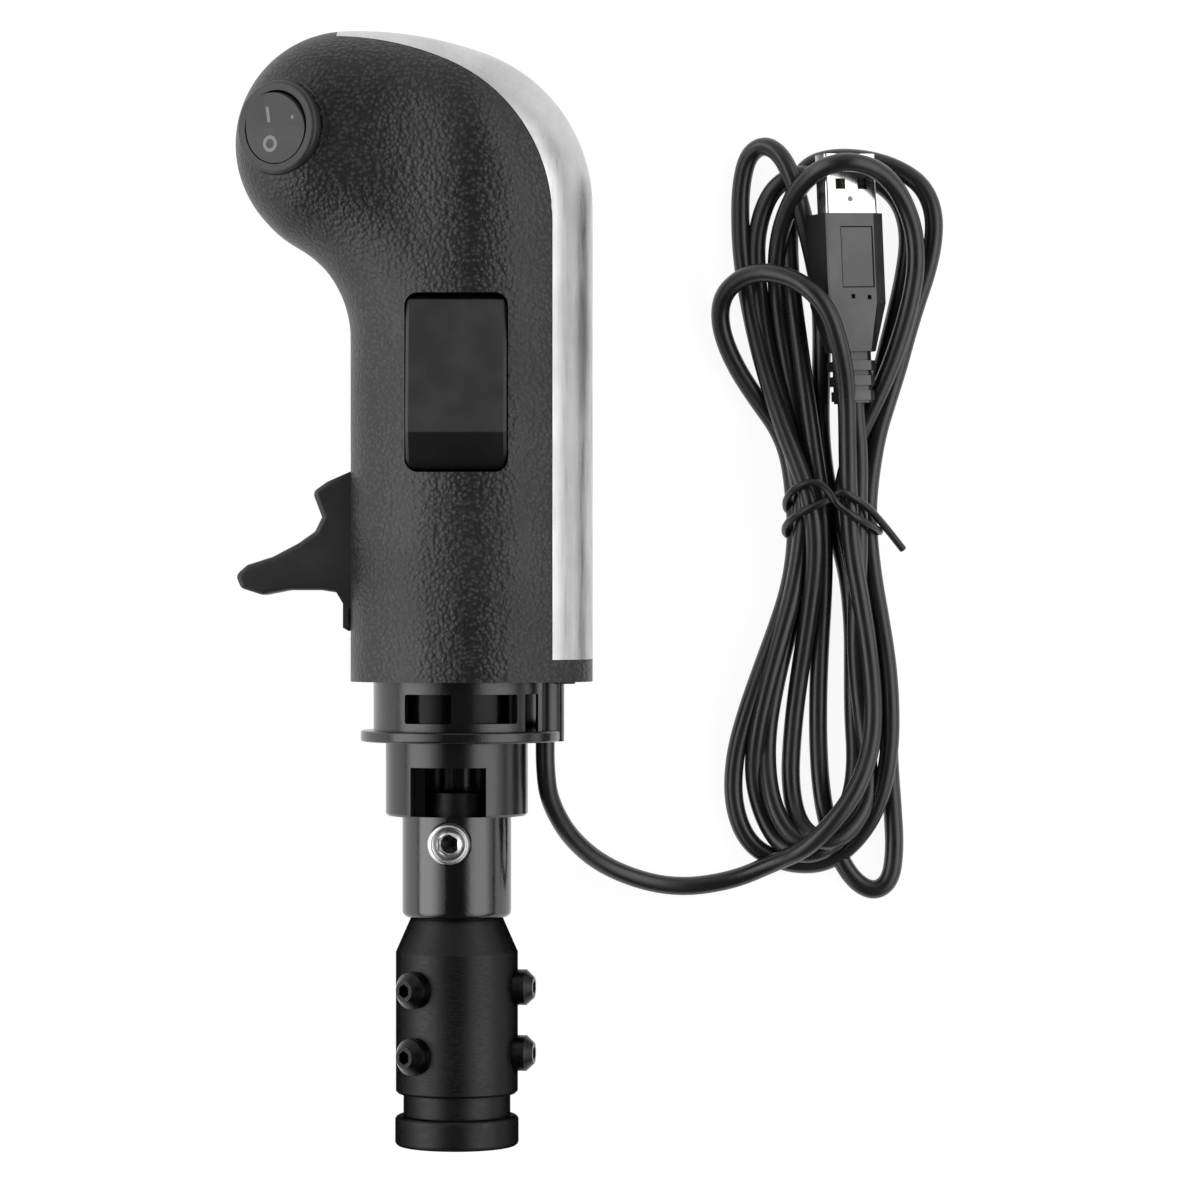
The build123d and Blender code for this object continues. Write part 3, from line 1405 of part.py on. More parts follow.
tongue_thickness = 1.9
tongue_middle = shell_inside[1] / 2 - 0.1 - tongue_thickness / 2
contact_height = 0.2
with BuildPart() as usb_tongue:
    with BuildSketch(shell_plane.offset(-shell_depth)):
        with Locations((0, tongue_middle)):
            Rectangle(shell_inside[0] - 0.2, tongue_thickness)
    extrude(amount=usb_shell_size[2] + shell_depth - 0.6)
usb_tongue.part.label = "usb_tongue"

with BuildPart() as usb_contacts:
    with BuildSketch(shell_plane):
        with Locations((0, tongue_middle - tongue_thickness / 2 - contact_height / 2 - 0.02)):
            with GridLocations(2.4, 1, 4, 1):
                Rectangle(1.0, contact_height)
    extrude(amount=9.0)
usb_contacts.part.label = "usb_contacts"

# Hank of cable tied at its waist: outer shape of the two lobes, open where the plug lies
hank_outline = [
    (62.0, 206.5),
    (56.8, 196.0),
    (57.5, 182.0),
    (52.8, 172.0),
    (56.0, 161.0),
    (67.0, 143.0),
    (68.4, 130.0),
    (66.4, 112.0),
    (60.0, 97.5),
    (55.2, 80.0),
    (56.4, 66.0),
    (63.0, 56.6),
    (72.0, 56.0),
    (80.0, 54.5),
    (87.0, 48.2),
    (92.6, 55.5),
    (92.0, 72.0),
    (91.0, 90.0),
    (88.0, 112.0),
    (86.4, 130.0),
    (90.5, 150.0),
    (97.5, 168.0),
    (101.0, 184.0),
    (98.5, 198.0),
    (90.0, 205.0),
    (78.0, 207.0),
]
hank_waist = (67.0, 87.5)
plug_half_width = (
    overmold[0] / 2 * cos(radians(plug_roll)) + overmold[1] / 2 * sin(radians(plug_roll)) + 0.3
)
tie_middle_y = (tie_band[0] + tie_band[1]) / 2
tie_height = tie_band[1] - tie_band[0]
waist_middle_x = (hank_waist[0] + hank_waist[1]) / 2
waist_width = hank_waist[1] - hank_waist[0]
waist_z = floor_z + hank_height / 2
plug_bay = 80.0
with BuildPart() as cord_hank:
    with BuildSketch(Plane.XY.offset(floor_z)):
        with BuildLine():
            Spline(*hank_outline, periodic=True)
        make_face()
    extrude(amount=hank_height)
    plug_back = Plane(origin=(plug_origin[0], plug_origin[1], 0)).rotated((0, 0, plug_turn))
    with BuildSketch(plug_back):
        with Locations((0, plug_bay / 2 - overmold[2] - relief[2])):
            Rectangle(2 * plug_half_width, plug_bay)
    extrude(amount=2 * grip_half_width, both=True, mode=Mode.SUBTRACT)
    with Locations((waist_middle_x, tie_middle_y, waist_z)):
        Box(60, tie_height, 2 * hank_height, mode=Mode.SUBTRACT)
        Box(waist_width - 2 * tie_thickness, tie_height, hank_height - 2 * tie_thickness)
cord_hank.part.label = "cord_hank"

with BuildPart() as twist_tie:
    with Locations((waist_middle_x, tie_middle_y, waist_z)):
        Box(waist_width, tie_height - 0.1, hank_height)
        Box(
            waist_width - 2 * tie_thickness + 0.1,
            tie_height,
            hank_height - 2 * tie_thickness + 0.1,
            mode=Mode.SUBTRACT,
        )
twist_tie.part.label = "twist_tie"

pieces = [base_screws, lock_collar, hub_sleeve, core_tube, retaining_ring, clamp_screw]
pieces += [shaft_adapter, adapter_screws, range_lever, lever_pin, detent_ball, detent_spring]
pieces += [lever_switch, lever_button, lever_terminals, splitter_cap, splitter_housing]
pieces += [splitter_pins, splitter_plunger, splitter_spring, splitter_contact, splitter_terminals]
pieces += [splitter_screws, power_switch, power_rocker, power_terminals, controller_board]
pieces += [controller_chip, board_crystal, board_sockets, board_screws, cable_clamp, clamp_bolt]
pieces += [usb_overmold, usb_shell, usb_tongue, usb_contacts, cord_hank, twist_tie]
for piece in pieces:
    export_step(piece.part, f"parts/{piece.part.label}.step")
for run in (splitter_loom, power_loom, lever_loom, cable_loom, cord_inner, cord_lead):
    export_step(run, f"parts/{run.label}.step")
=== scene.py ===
import json
from math import cos, radians, sin

import bmesh
import bpy
from mathutils import Matrix, Vector


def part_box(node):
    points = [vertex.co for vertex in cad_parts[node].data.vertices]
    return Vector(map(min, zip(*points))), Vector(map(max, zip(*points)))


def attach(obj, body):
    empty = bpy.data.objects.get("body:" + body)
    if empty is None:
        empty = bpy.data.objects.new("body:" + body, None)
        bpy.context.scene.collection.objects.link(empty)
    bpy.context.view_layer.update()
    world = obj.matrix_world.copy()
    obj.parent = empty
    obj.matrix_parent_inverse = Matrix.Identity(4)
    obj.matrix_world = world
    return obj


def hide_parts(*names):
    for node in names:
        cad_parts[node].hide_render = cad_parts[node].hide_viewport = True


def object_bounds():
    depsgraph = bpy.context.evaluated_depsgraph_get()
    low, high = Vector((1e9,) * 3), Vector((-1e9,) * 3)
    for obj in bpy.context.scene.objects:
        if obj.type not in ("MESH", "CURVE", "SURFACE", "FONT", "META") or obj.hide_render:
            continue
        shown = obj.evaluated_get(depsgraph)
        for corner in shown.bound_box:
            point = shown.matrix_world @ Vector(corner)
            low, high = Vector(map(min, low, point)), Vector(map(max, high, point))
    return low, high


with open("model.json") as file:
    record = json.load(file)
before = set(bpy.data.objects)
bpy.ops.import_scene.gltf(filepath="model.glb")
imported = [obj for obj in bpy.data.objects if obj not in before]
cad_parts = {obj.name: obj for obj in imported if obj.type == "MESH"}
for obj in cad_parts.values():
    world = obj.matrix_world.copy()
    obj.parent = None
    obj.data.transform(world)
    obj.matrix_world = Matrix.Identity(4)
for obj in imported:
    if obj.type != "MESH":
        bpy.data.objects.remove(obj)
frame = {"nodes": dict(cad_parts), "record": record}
cad_low, cad_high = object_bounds()
floor_level = cad_low.z

# Camera: straight above the knob, far enough away for a long lens
view_centre = (0.0292, 0.1112)
camera_height = 0.900
focal_length, sensor_width = 132.3, 36.0
nearest_seen = 0.01
lens = bpy.data.cameras.new("overhead")
lens.lens = focal_length
lens.sensor_width = sensor_width
lens.clip_start = nearest_seen
camera = bpy.data.objects.new("overhead", lens)
camera.location = (*view_centre, camera_height)
bpy.context.scene.collection.objects.link(camera)
bpy.context.scene.camera = camera

# Cable: the lead falls from the collar, then five loops lie at each end of a hank that is
# tied at its waist. One end is towards the knob's crown, the other towards its adapter.
cable_radius = 0.00195
cable_points = [
    # out of the collar and down to the floor
    (0.0180, 0.0810, 0.0000), (0.0180, 0.0760, 0.0000), (0.0190, 0.0695, -0.0025),
    (0.0235, 0.0615, -0.0085), (0.0315, 0.0550, -0.0155), (0.0440, 0.0510, -0.0200),
    (0.0565, 0.0525, -0.0200),
    # up over the loops at the adapter's end, to the tie
    (0.0658, 0.0568, -0.0165), (0.0718, 0.0597, -0.0115), (0.0779, 0.0658, -0.0095),
    (0.0829, 0.0732, -0.0100), (0.0855, 0.0814, -0.0120), (0.0859, 0.0905, -0.0130),
    (0.0849, 0.1008, -0.0132), (0.0832, 0.1112, -0.0132), (0.0814, 0.1211, -0.0129),
    (0.0806, 0.1303, -0.0116),
    # first loop at the crown's end
    (0.0805, 0.1412, -0.0129), (0.0803, 0.1515, -0.0115), (0.0797, 0.1582, -0.0090),
    (0.0783, 0.1642, -0.0063), (0.0762, 0.1703, -0.0048), (0.0727, 0.1748, -0.0053),
    (0.0683, 0.1777, -0.0075), (0.0630, 0.1790, -0.0100), (0.0584, 0.1780, -0.0125),
    (0.0549, 0.1749, -0.0155), (0.0540, 0.1705, -0.0180), (0.0551, 0.1652, -0.0195),
    (0.0580, 0.1590, -0.0200), (0.0622, 0.1527, -0.0200), (0.0663, 0.1471, -0.0200),
    (0.0688, 0.1408, -0.0199), (0.0699, 0.1304, -0.0184),
    # first loop at the adapter's end
    (0.0701, 0.1227, -0.0195), (0.0688, 0.1139, -0.0190), (0.0660, 0.1054, -0.0175),
    (0.0629, 0.0971, -0.0170), (0.0598, 0.0883, -0.0175), (0.0575, 0.0799, -0.0190),
    (0.0568, 0.0716, -0.0200), (0.0580, 0.0649, -0.0200), (0.0609, 0.0599, -0.0200),
    (0.0655, 0.0572, -0.0200), (0.0709, 0.0559, -0.0200), (0.0766, 0.0565, -0.0200),
    (0.0817, 0.0601, -0.0190), (0.0858, 0.0659, -0.0170), (0.0882, 0.0730, -0.0155),
    (0.0894, 0.0809, -0.0150), (0.0895, 0.0892, -0.0150), (0.0889, 0.0979, -0.0155),
    (0.0876, 0.1066, -0.0165), (0.0862, 0.1149, -0.0180), (0.0853, 0.1227, -0.0190),
    (0.0849, 0.1304, -0.0184),
    # second loop at the crown's end
    (0.0857, 0.1383, -0.0190), (0.0871, 0.1462, -0.0190), (0.0892, 0.1529, -0.0190),
    (0.0913, 0.1595, -0.0190), (0.0932, 0.1666, -0.0190), (0.0952, 0.1733, -0.0185),
    (0.0973, 0.1795, -0.0180), (0.0987, 0.1861, -0.0180), (0.0987, 0.1920, -0.0180),
    (0.0967, 0.1970, -0.0185), (0.0930, 0.2002, -0.0195), (0.0880, 0.2024, -0.0200),
    (0.0826, 0.2034, -0.0200), (0.0772, 0.2034, -0.0200), (0.0726, 0.2019, -0.0200),
    (0.0701, 0.1980, -0.0200), (0.0688, 0.1921, -0.0200), (0.0686, 0.1832, -0.0200),
    (0.0694, 0.1737, -0.0190), (0.0708, 0.1632, -0.0180), (0.0722, 0.1528, -0.0170),
    (0.0737, 0.1413, -0.0165), (0.0753, 0.1303, -0.0150),
    # second loop at the adapter's end
    (0.0758, 0.1220, -0.0171), (0.0757, 0.1122, -0.0190), (0.0751, 0.1018, -0.0200),
    (0.0747, 0.0914, -0.0200), (0.0747, 0.0810, -0.0200), (0.0753, 0.0716, -0.0200),
    (0.0768, 0.0636, -0.0200), (0.0793, 0.0570, -0.0200), (0.0826, 0.0522, -0.0200),
    (0.0866, 0.0503, -0.0200), (0.0899, 0.0528, -0.0200), (0.0907, 0.0595, -0.0200),
    (0.0903, 0.0670, -0.0200), (0.0897, 0.0747, -0.0200), (0.0893, 0.0830, -0.0200),
    (0.0884, 0.0924, -0.0200), (0.0868, 0.1018, -0.0200), (0.0851, 0.1112, -0.0200),
    (0.0832, 0.1212, -0.0197), (0.0811, 0.1304, -0.0184),
    # third loop at the crown's end
    (0.0822, 0.1387, -0.0196), (0.0843, 0.1462, -0.0200), (0.0868, 0.1546, -0.0200),
    (0.0889, 0.1629, -0.0200), (0.0910, 0.1713, -0.0200), (0.0928, 0.1796, -0.0200),
    (0.0937, 0.1871, -0.0200), (0.0922, 0.1936, -0.0200), (0.0884, 0.1978, -0.0200),
    (0.0834, 0.1997, -0.0200), (0.0782, 0.2001, -0.0200), (0.0731, 0.1999, -0.0185),
    (0.0687, 0.1994, -0.0170), (0.0650, 0.1965, -0.0180), (0.0628, 0.1916, -0.0190),
    (0.0617, 0.1857, -0.0200), (0.0620, 0.1780, -0.0200), (0.0630, 0.1696, -0.0200),
    (0.0646, 0.1602, -0.0195), (0.0671, 0.1508, -0.0180), (0.0695, 0.1413, -0.0167),
    (0.0716, 0.1303, -0.0150),
    # third loop at the adapter's end
    (0.0710, 0.1220, -0.0162), (0.0693, 0.1124, -0.0164), (0.0666, 0.1029, -0.0160),
    (0.0637, 0.0925, -0.0162), (0.0617, 0.0831, -0.0175), (0.0611, 0.0747, -0.0195),
    (0.0628, 0.0670, -0.0200), (0.0661, 0.0608, -0.0190), (0.0705, 0.0582, -0.0163),
    (0.0753, 0.0589, -0.0158), (0.0797, 0.0621, -0.0170), (0.0830, 0.0682, -0.0195),
    (0.0849, 0.0757, -0.0200), (0.0855, 0.0841, -0.0200), (0.0853, 0.0924, -0.0195),
    (0.0841, 0.1018, -0.0175), (0.0830, 0.1112, -0.0168), (0.0812, 0.1216, -0.0162),
    (0.0791, 0.1303, -0.0150),
    # fourth loop at the crown's end
    (0.0802, 0.1374, -0.0170), (0.0827, 0.1445, -0.0176), (0.0861, 0.1519, -0.0164),
    (0.0892, 0.1589, -0.0155), (0.0917, 0.1660, -0.0150), (0.0937, 0.1734, -0.0145),
    (0.0949, 0.1809, -0.0145), (0.0943, 0.1883, -0.0145), (0.0917, 0.1948, -0.0130),
    (0.0882, 0.1989, -0.0105), (0.0839, 0.2009, -0.0075), (0.0789, 0.2014, -0.0062),
    (0.0741, 0.1999, -0.0080), (0.0703, 0.1966, -0.0115), (0.0678, 0.1917, -0.0155),
    (0.0663, 0.1862, -0.0185), (0.0659, 0.1790, -0.0200), (0.0665, 0.1707, -0.0200),
    (0.0680, 0.1613, -0.0200), (0.0701, 0.1508, -0.0200), (0.0724, 0.1404, -0.0198),
    (0.0736, 0.1304, -0.0184),
    # fourth loop at the adapter's end
    (0.0732, 0.1220, -0.0196), (0.0709, 0.1129, -0.0200), (0.0680, 0.1029, -0.0200),
    (0.0655, 0.0924, -0.0200), (0.0640, 0.0830, -0.0200), (0.0640, 0.0741, -0.0180),
    (0.0656, 0.0671, -0.0165), (0.0690, 0.0618, -0.0153), (0.0736, 0.0606, -0.0145),
    (0.0783, 0.0639, -0.0140), (0.0815, 0.0703, -0.0155), (0.0825, 0.0779, -0.0175),
    (0.0820, 0.0872, -0.0195), (0.0820, 0.0966, -0.0200), (0.0820, 0.1060, -0.0200),
    (0.0811, 0.1154, -0.0200), (0.0793, 0.1227, -0.0195), (0.0774, 0.1304, -0.0184),
    # fifth loop at the crown's end
    (0.0759, 0.1383, -0.0195), (0.0751, 0.1477, -0.0200), (0.0753, 0.1571, -0.0200),
    (0.0755, 0.1665, -0.0200), (0.0751, 0.1748, -0.0195), (0.0735, 0.1830, -0.0175),
    (0.0713, 0.1910, -0.0145), (0.0692, 0.1982, -0.0130), (0.0667, 0.2037, -0.0145),
    (0.0633, 0.2060, -0.0170), (0.0600, 0.2039, -0.0190), (0.0586, 0.1978, -0.0200),
    (0.0584, 0.1905, -0.0200), (0.0588, 0.1825, -0.0200), (0.0601, 0.1742, -0.0200),
    (0.0619, 0.1654, -0.0195), (0.0644, 0.1560, -0.0180), (0.0674, 0.1465, -0.0155),
    (0.0706, 0.1381, -0.0133), (0.0731, 0.1303, -0.0116),
    # fifth loop at the adapter's end
    (0.0739, 0.1220, -0.0132), (0.0732, 0.1129, -0.0155), (0.0717, 0.1018, -0.0180),
    (0.0703, 0.0924, -0.0195), (0.0693, 0.0830, -0.0200), (0.0688, 0.0736, -0.0200),
    (0.0700, 0.0658, -0.0180), (0.0731, 0.0619, -0.0128), (0.0772, 0.0611, -0.0126),
    (0.0816, 0.0640, -0.0136), (0.0849, 0.0697, -0.0160), (0.0851, 0.0769, -0.0166),
    (0.0839, 0.0852, -0.0164), (0.0828, 0.0946, -0.0160), (0.0823, 0.1029, -0.0148),
    (0.0825, 0.1112, -0.0145), (0.0830, 0.1216, -0.0154), (0.0828, 0.1303, -0.0150),
    # along the middle to the plug
    (0.0830, 0.1382, -0.0151), (0.0827, 0.1444, -0.0142), (0.0821, 0.1494, -0.0134),
    (0.0820, 0.1539, -0.0134),
]

# Tie: a coated wire that goes round the waist, crosses itself on top and ends in a short tail
tie_radius = 0.00078
tie_points = [
    # tail, and over the bundle to the crossing
    (0.0923, 0.1218, -0.0190), (0.0899, 0.1247, -0.0170), (0.0875, 0.1274, -0.0145),
    (0.0846, 0.1304, -0.0113), (0.0814, 0.1324, -0.0091), (0.0789, 0.1337, -0.0086),
    (0.0773, 0.1324, -0.0095), (0.0754, 0.1314, -0.0086), (0.0725, 0.1302, -0.0091),
    # down the left side, under the bundle and up its right side
    (0.0699, 0.1288, -0.0106), (0.0679, 0.1272, -0.0135), (0.0675, 0.1253, -0.0175),
    (0.0689, 0.1244, -0.0209), (0.0722, 0.1248, -0.0212), (0.0777, 0.1254, -0.0212),
    (0.0831, 0.1258, -0.0212), (0.0864, 0.1256, -0.0206), (0.0877, 0.1253, -0.0175),
    # over the bundle again, through the crossing
    (0.0864, 0.1261, -0.0140), (0.0842, 0.1271, -0.0112), (0.0814, 0.1285, -0.0091),
    (0.0789, 0.1302, -0.0089), (0.0774, 0.1318, -0.0080), (0.0762, 0.1339, -0.0089),
    (0.0739, 0.1357, -0.0091), (0.0707, 0.1351, -0.0098),
    # down the left side a second time, and tucked under the bundle
    (0.0685, 0.1335, -0.0120), (0.0676, 0.1313, -0.0160), (0.0684, 0.1296, -0.0200),
    (0.0710, 0.1287, -0.0212), (0.0772, 0.1296, -0.0212), (0.0806, 0.1300, -0.0212),
]


# Steps that a drawn line takes between two of its points, and how many points steer each stretch
line_steps, line_order = 7, 3


def round_line(name, points, radius, roundness):
    """Round bar on one smooth open line, with the points as its controls."""
    line = bpy.data.curves.new(name, "CURVE")
    line.dimensions = "3D"
    line.resolution_u = line_steps
    line.bevel_depth = radius
    line.bevel_resolution = roundness
    line.use_fill_caps = True
    spline = line.splines.new("NURBS")
    spline.points.add(len(points) - 1)
    for point, place in zip(spline.points, points):
        point.co = (*place, 1.0)
    spline.order_u = line_order
    spline.use_endpoint_u = True
    bar = bpy.data.objects.new(name, line)
    bpy.context.scene.collection.objects.link(bar)
    return bar


cable = round_line("cable", cable_points, cable_radius, roundness=5)
tie_wire = round_line("tie_wire", tie_points, tie_radius, roundness=3)


# Node helpers, for the light and for the finishes
def fade(tree, source, span, at_low, at_high):
    """Smooth change from one value to another as the source goes through a span."""
    ramp = tree.nodes.new("ShaderNodeMapRange")
    ramp.interpolation_type = "SMOOTHSTEP"
    ramp.inputs["From Min"].default_value, ramp.inputs["From Max"].default_value = span
    ramp.inputs["To Min"].default_value = at_low
    ramp.inputs["To Max"].default_value = at_high
    tree.links.new(source, ramp.inputs["Value"])
    return ramp.outputs[0]


def combine(tree, operation, first, second=0.0):
    """Math node on two sockets or numbers."""
    math = tree.nodes.new("ShaderNodeMath")
    math.operation = operation
    for socket, value in zip(math.inputs, (first, second)):
        if hasattr(value, "links"):
            tree.links.new(value, socket)
        else:
            socket.default_value = value
    return math.outputs[0]


def axis_of(tree, coordinates, axis):
    """One axis of the Object or Generated coordinates, or of the Normal."""
    place = tree.nodes.new("ShaderNodeTexCoord")
    split = tree.nodes.new("ShaderNodeSeparateXYZ")
    tree.links.new(place.outputs[coordinates], split.inputs[0])
    return split.outputs[axis]


# Light: a soft dome that is bright to the left and right and dim overhead, and two soft lamps.
# A span is the stretch of a direction's X, Y or Z over which a part of the dome fades.
left_glow, left_span, left_rise = 2.9, (-0.88, -0.42), (-0.02, 0.22)
right_glow, right_span, right_rise = 2.1, (0.24, 0.72), (0.10, 0.48)
slant_span, slant_share = (0.5, 0.9), 0.3
far_glow, far_span = 0.7, (0.3, 0.8)
near_glow, near_span = 0.03, (-0.8, -0.3)
horizon_glow, horizon_span = 0.25, (0.0, 0.3)
ceiling_glow = 0.05
lamp_places = {"left_box": (-0.55, 0.15, 0.42), "right_box": (0.62, 0.15, 0.42)}
lamp_aim, lamp_size, lamp_power = (0.02, 0.11, 0), (0.55, 0.8), 0.7
floor_reach, floor_gap = 2.5, 0.0001
paper_grey, shadow_grey, paper_glow = 0.72, 0.18, 0.92


def studio_dome():
    """World light by direction: a soft box on each side, weaker ends and a dim ceiling."""
    world = bpy.data.worlds.new("studio")
    bpy.context.scene.world = world
    world.use_nodes = True
    tree = world.node_tree
    tree.nodes.clear()
    across, along, up = (axis_of(tree, "Generated", axis) for axis in "XYZ")
    left = combine(
        tree, "MULTIPLY",
        fade(tree, across, left_span, left_glow, 0.0), fade(tree, up, left_rise, 0.0, 1.0),
    )
    right = combine(
        tree, "MULTIPLY",
        fade(tree, across, right_span, 0.0, right_glow), fade(tree, up, right_rise, 0.0, 1.0),
    )
    slant = combine(tree, "ABSOLUTE", along)
    boxes = combine(tree, "ADD", left, right)
    boxes = combine(tree, "MULTIPLY", boxes, fade(tree, slant, slant_span, 1.0, slant_share))
    ends = combine(
        tree, "ADD",
        fade(tree, along, far_span, 0.0, far_glow), fade(tree, along, near_span, near_glow, 0.0),
    )
    light = combine(tree, "ADD", boxes, ends)
    light = combine(tree, "ADD", light, fade(tree, up, horizon_span, horizon_glow, 0.0))
    light = combine(tree, "ADD", light, ceiling_glow)
    glow = tree.nodes.new("ShaderNodeBackground")
    tree.links.new(light, glow.inputs["Strength"])
    output = tree.nodes.new("ShaderNodeOutputWorld")
    tree.links.new(glow.outputs[0], output.inputs[0])


def soft_lamp(name, place):
    """Rectangular lamp that faces the knob and isn't seen by the camera."""
    light = bpy.data.lights.new(name, "AREA")
    light.shape = "RECTANGLE"
    light.size, light.size_y = lamp_size
    light.energy = lamp_power
    lamp = bpy.data.objects.new(name, light)
    lamp.location = place
    lamp.rotation_euler = (Vector(lamp_aim) - Vector(place)).to_track_quat("-Z", "Y").to_euler()
    lamp.visible_camera = False
    bpy.context.scene.collection.objects.link(lamp)


def matte_shade(tree, grey):
    """Matte shader of one grey."""
    matte = tree.nodes.new("ShaderNodeBsdfDiffuse")
    matte.inputs["Color"].default_value = (grey, grey, grey, 1)
    return matte.outputs[0]


def white_paper():
    """Paper that looks white, keeps a faint shadow and lights the knob as a matte sheet does."""
    paper = bpy.data.materials.new("white_paper")
    paper.use_nodes = True
    tree = paper.node_tree
    tree.nodes.clear()
    white = tree.nodes.new("ShaderNodeEmission")
    white.inputs["Strength"].default_value = paper_glow
    both = tree.nodes.new("ShaderNodeAddShader")
    tree.links.new(matte_shade(tree, shadow_grey), both.inputs[0])
    tree.links.new(white.outputs[0], both.inputs[1])
    path = tree.nodes.new("ShaderNodeLightPath")
    shown = combine(tree, "MAXIMUM", path.outputs["Is Camera Ray"], path.outputs["Is Glossy Ray"])
    shown = combine(tree, "MAXIMUM", shown, path.outputs["Is Transmission Ray"])
    mix = tree.nodes.new("ShaderNodeMixShader")
    tree.links.new(shown, mix.inputs[0])
    tree.links.new(matte_shade(tree, paper_grey), mix.inputs[1])
    tree.links.new(both.outputs[0], mix.inputs[2])
    output = tree.nodes.new("ShaderNodeOutputMaterial")
    tree.links.new(mix.outputs[0], output.inputs[0])
    return paper


def pale_floor():
    """White table top under the knob."""
    mesh = bpy.data.meshes.new("floor")
    shape = bmesh.new()
    bmesh.ops.create_grid(shape, x_segments=1, y_segments=1, size=floor_reach)
    bmesh.ops.translate(shape, verts=shape.verts, vec=(*view_centre, floor_level - floor_gap))
    shape.to_mesh(mesh)
    shape.free()
    mesh.materials.append(white_paper())
    floor = bpy.data.objects.new("floor", mesh)
    bpy.context.scene.collection.objects.link(floor)


studio_dome()
for lamp_name, lamp_place in lamp_places.items():
    soft_lamp(lamp_name, lamp_place)
pale_floor()
bpy.context.scene.view_settings.view_transform = "Standard"


# How the plug lies in the hank: turned a little, and rolled to its right
plug_mouth = (0.0804, 0.1910, -0.0134)
plug_turn, plug_roll = radians(2.4), radians(26)
plug_along = Vector((-sin(plug_turn), cos(plug_turn), 0))
plug_up = Vector((sin(plug_roll) * cos(plug_turn), sin(plug_roll) * sin(plug_turn), cos(plug_roll)))


# Finishes: each starts as a plain shader, and the helpers add what the eye sees on it
def plain(name, colour, roughness, **constants):
    """New material whose shader holds these constants; _ stands for a space in a socket's name."""
    material = bpy.data.materials.new(name)
    material.use_nodes = True
    shader = material.node_tree.nodes["Principled BSDF"]
    if not hasattr(colour, "__len__"):
        colour = (colour, colour, colour)
    shader.inputs["Base Color"].default_value = (*colour, 1)
    shader.inputs["Roughness"].default_value = roughness
    for socket, value in constants.items():
        shader.inputs[socket.replace("_", " ")].default_value = value
    return material


def shader_input(material, name):
    """Named input of a material's shader."""
    return material.node_tree.nodes["Principled BSDF"].inputs[name]


def texture(material, kind, scale, stretch=(1, 1, 1), **settings):
    """Texture node on Object coordinates, which the stretch multiplies, with values for its sockets."""
    tree = material.node_tree
    place = tree.nodes.new("ShaderNodeTexCoord")
    stretched = tree.nodes.new("ShaderNodeMapping")
    stretched.inputs["Scale"].default_value = stretch
    tree.links.new(place.outputs["Object"], stretched.inputs["Vector"])
    node = tree.nodes.new(kind)
    node.inputs["Scale"].default_value = scale
    for socket, value in settings.items():
        node.inputs[socket].default_value = value
    tree.links.new(stretched.outputs[0], node.inputs["Vector"])
    return node


def noise(material, scale, detail=2.0, stretch=(1, 1, 1)):
    """Cloudy pattern, mostly near 0.5, on Object coordinates."""
    return texture(material, "ShaderNodeTexNoise", scale, stretch, Detail=detail).outputs["Fac"]


def vary_colour(material, mask, span, at_low, at_high):
    """Base colour times one share of itself to another, as the mask goes through a span."""
    tree = material.node_tree
    base = shader_input(material, "Base Color")
    start = list(base.default_value)[:3]
    mix = tree.nodes.new("ShaderNodeMix")
    mix.data_type = "RGBA"
    mix.inputs["A"].default_value = (*[c * at_low for c in start], 1)
    mix.inputs["B"].default_value = (*[min(1, c * at_high) for c in start], 1)
    tree.links.new(fade(tree, mask, span, 0.0, 1.0), mix.inputs["Factor"])
    tree.links.new(mix.outputs["Result"], base)


def vary_roughness(material, mask, span, at_low, at_high):
    """Roughness from one value to another, as the mask goes through a span."""
    tree = material.node_tree
    tree.links.new(fade(tree, mask, span, at_low, at_high), shader_input(material, "Roughness"))


def paint_shade(material, mask, shade):
    """Mix the varied base colour towards a grey where a mask is 1, which paints shade there."""
    tree = material.node_tree
    base = shader_input(material, "Base Color")
    mix = tree.nodes.new("ShaderNodeMix")
    mix.data_type = "RGBA"
    tree.links.new(base.links[0].from_socket, mix.inputs["A"])
    mix.inputs["B"].default_value = (shade, shade, shade, 1)
    tree.links.new(mask, mix.inputs["Factor"])
    tree.links.new(mix.outputs["Result"], base)


def relief(material, height, depth, strength=1.0):
    """Bump from a height, on top of the bumps that are there already."""
    tree = material.node_tree
    bump = tree.nodes.new("ShaderNodeBump")
    bump.inputs["Distance"].default_value = depth
    bump.inputs["Strength"].default_value = strength
    tree.links.new(height, bump.inputs["Height"])
    normal = shader_input(material, "Normal")
    if normal.links:
        tree.links.new(normal.links[0].from_socket, bump.inputs["Normal"])
    tree.links.new(bump.outputs[0], normal)


def round_spot(material, centre, radius, edge):
    """1 within a radius of a vertical line through a point, 0 outside it."""
    tree = material.node_tree
    place = tree.nodes.new("ShaderNodeTexCoord")
    flat = tree.nodes.new("ShaderNodeVectorMath")
    flat.operation = "MULTIPLY"
    flat.inputs[1].default_value = (1, 1, 0)
    tree.links.new(place.outputs["Object"], flat.inputs[0])
    away = tree.nodes.new("ShaderNodeVectorMath")
    away.operation = "DISTANCE"
    away.inputs[1].default_value = (*centre, 0)
    tree.links.new(flat.outputs[0], away.inputs[0])
    return fade(tree, away.outputs["Value"], (radius - edge, radius + edge), 1.0, 0.0)


def crown(material, middle, width, height):
    """Very gentle swell across X, like the one that a moulded side has between its edges."""
    tree = material.node_tree
    aside = combine(tree, "SUBTRACT", axis_of(tree, "Object", "X"), middle)
    aside = combine(tree, "DIVIDE", aside, width)
    square = combine(tree, "MULTIPLY", aside, aside)
    bell = combine(tree, "EXPONENT", combine(tree, "MULTIPLY", square, -0.5))
    relief(material, bell, height)


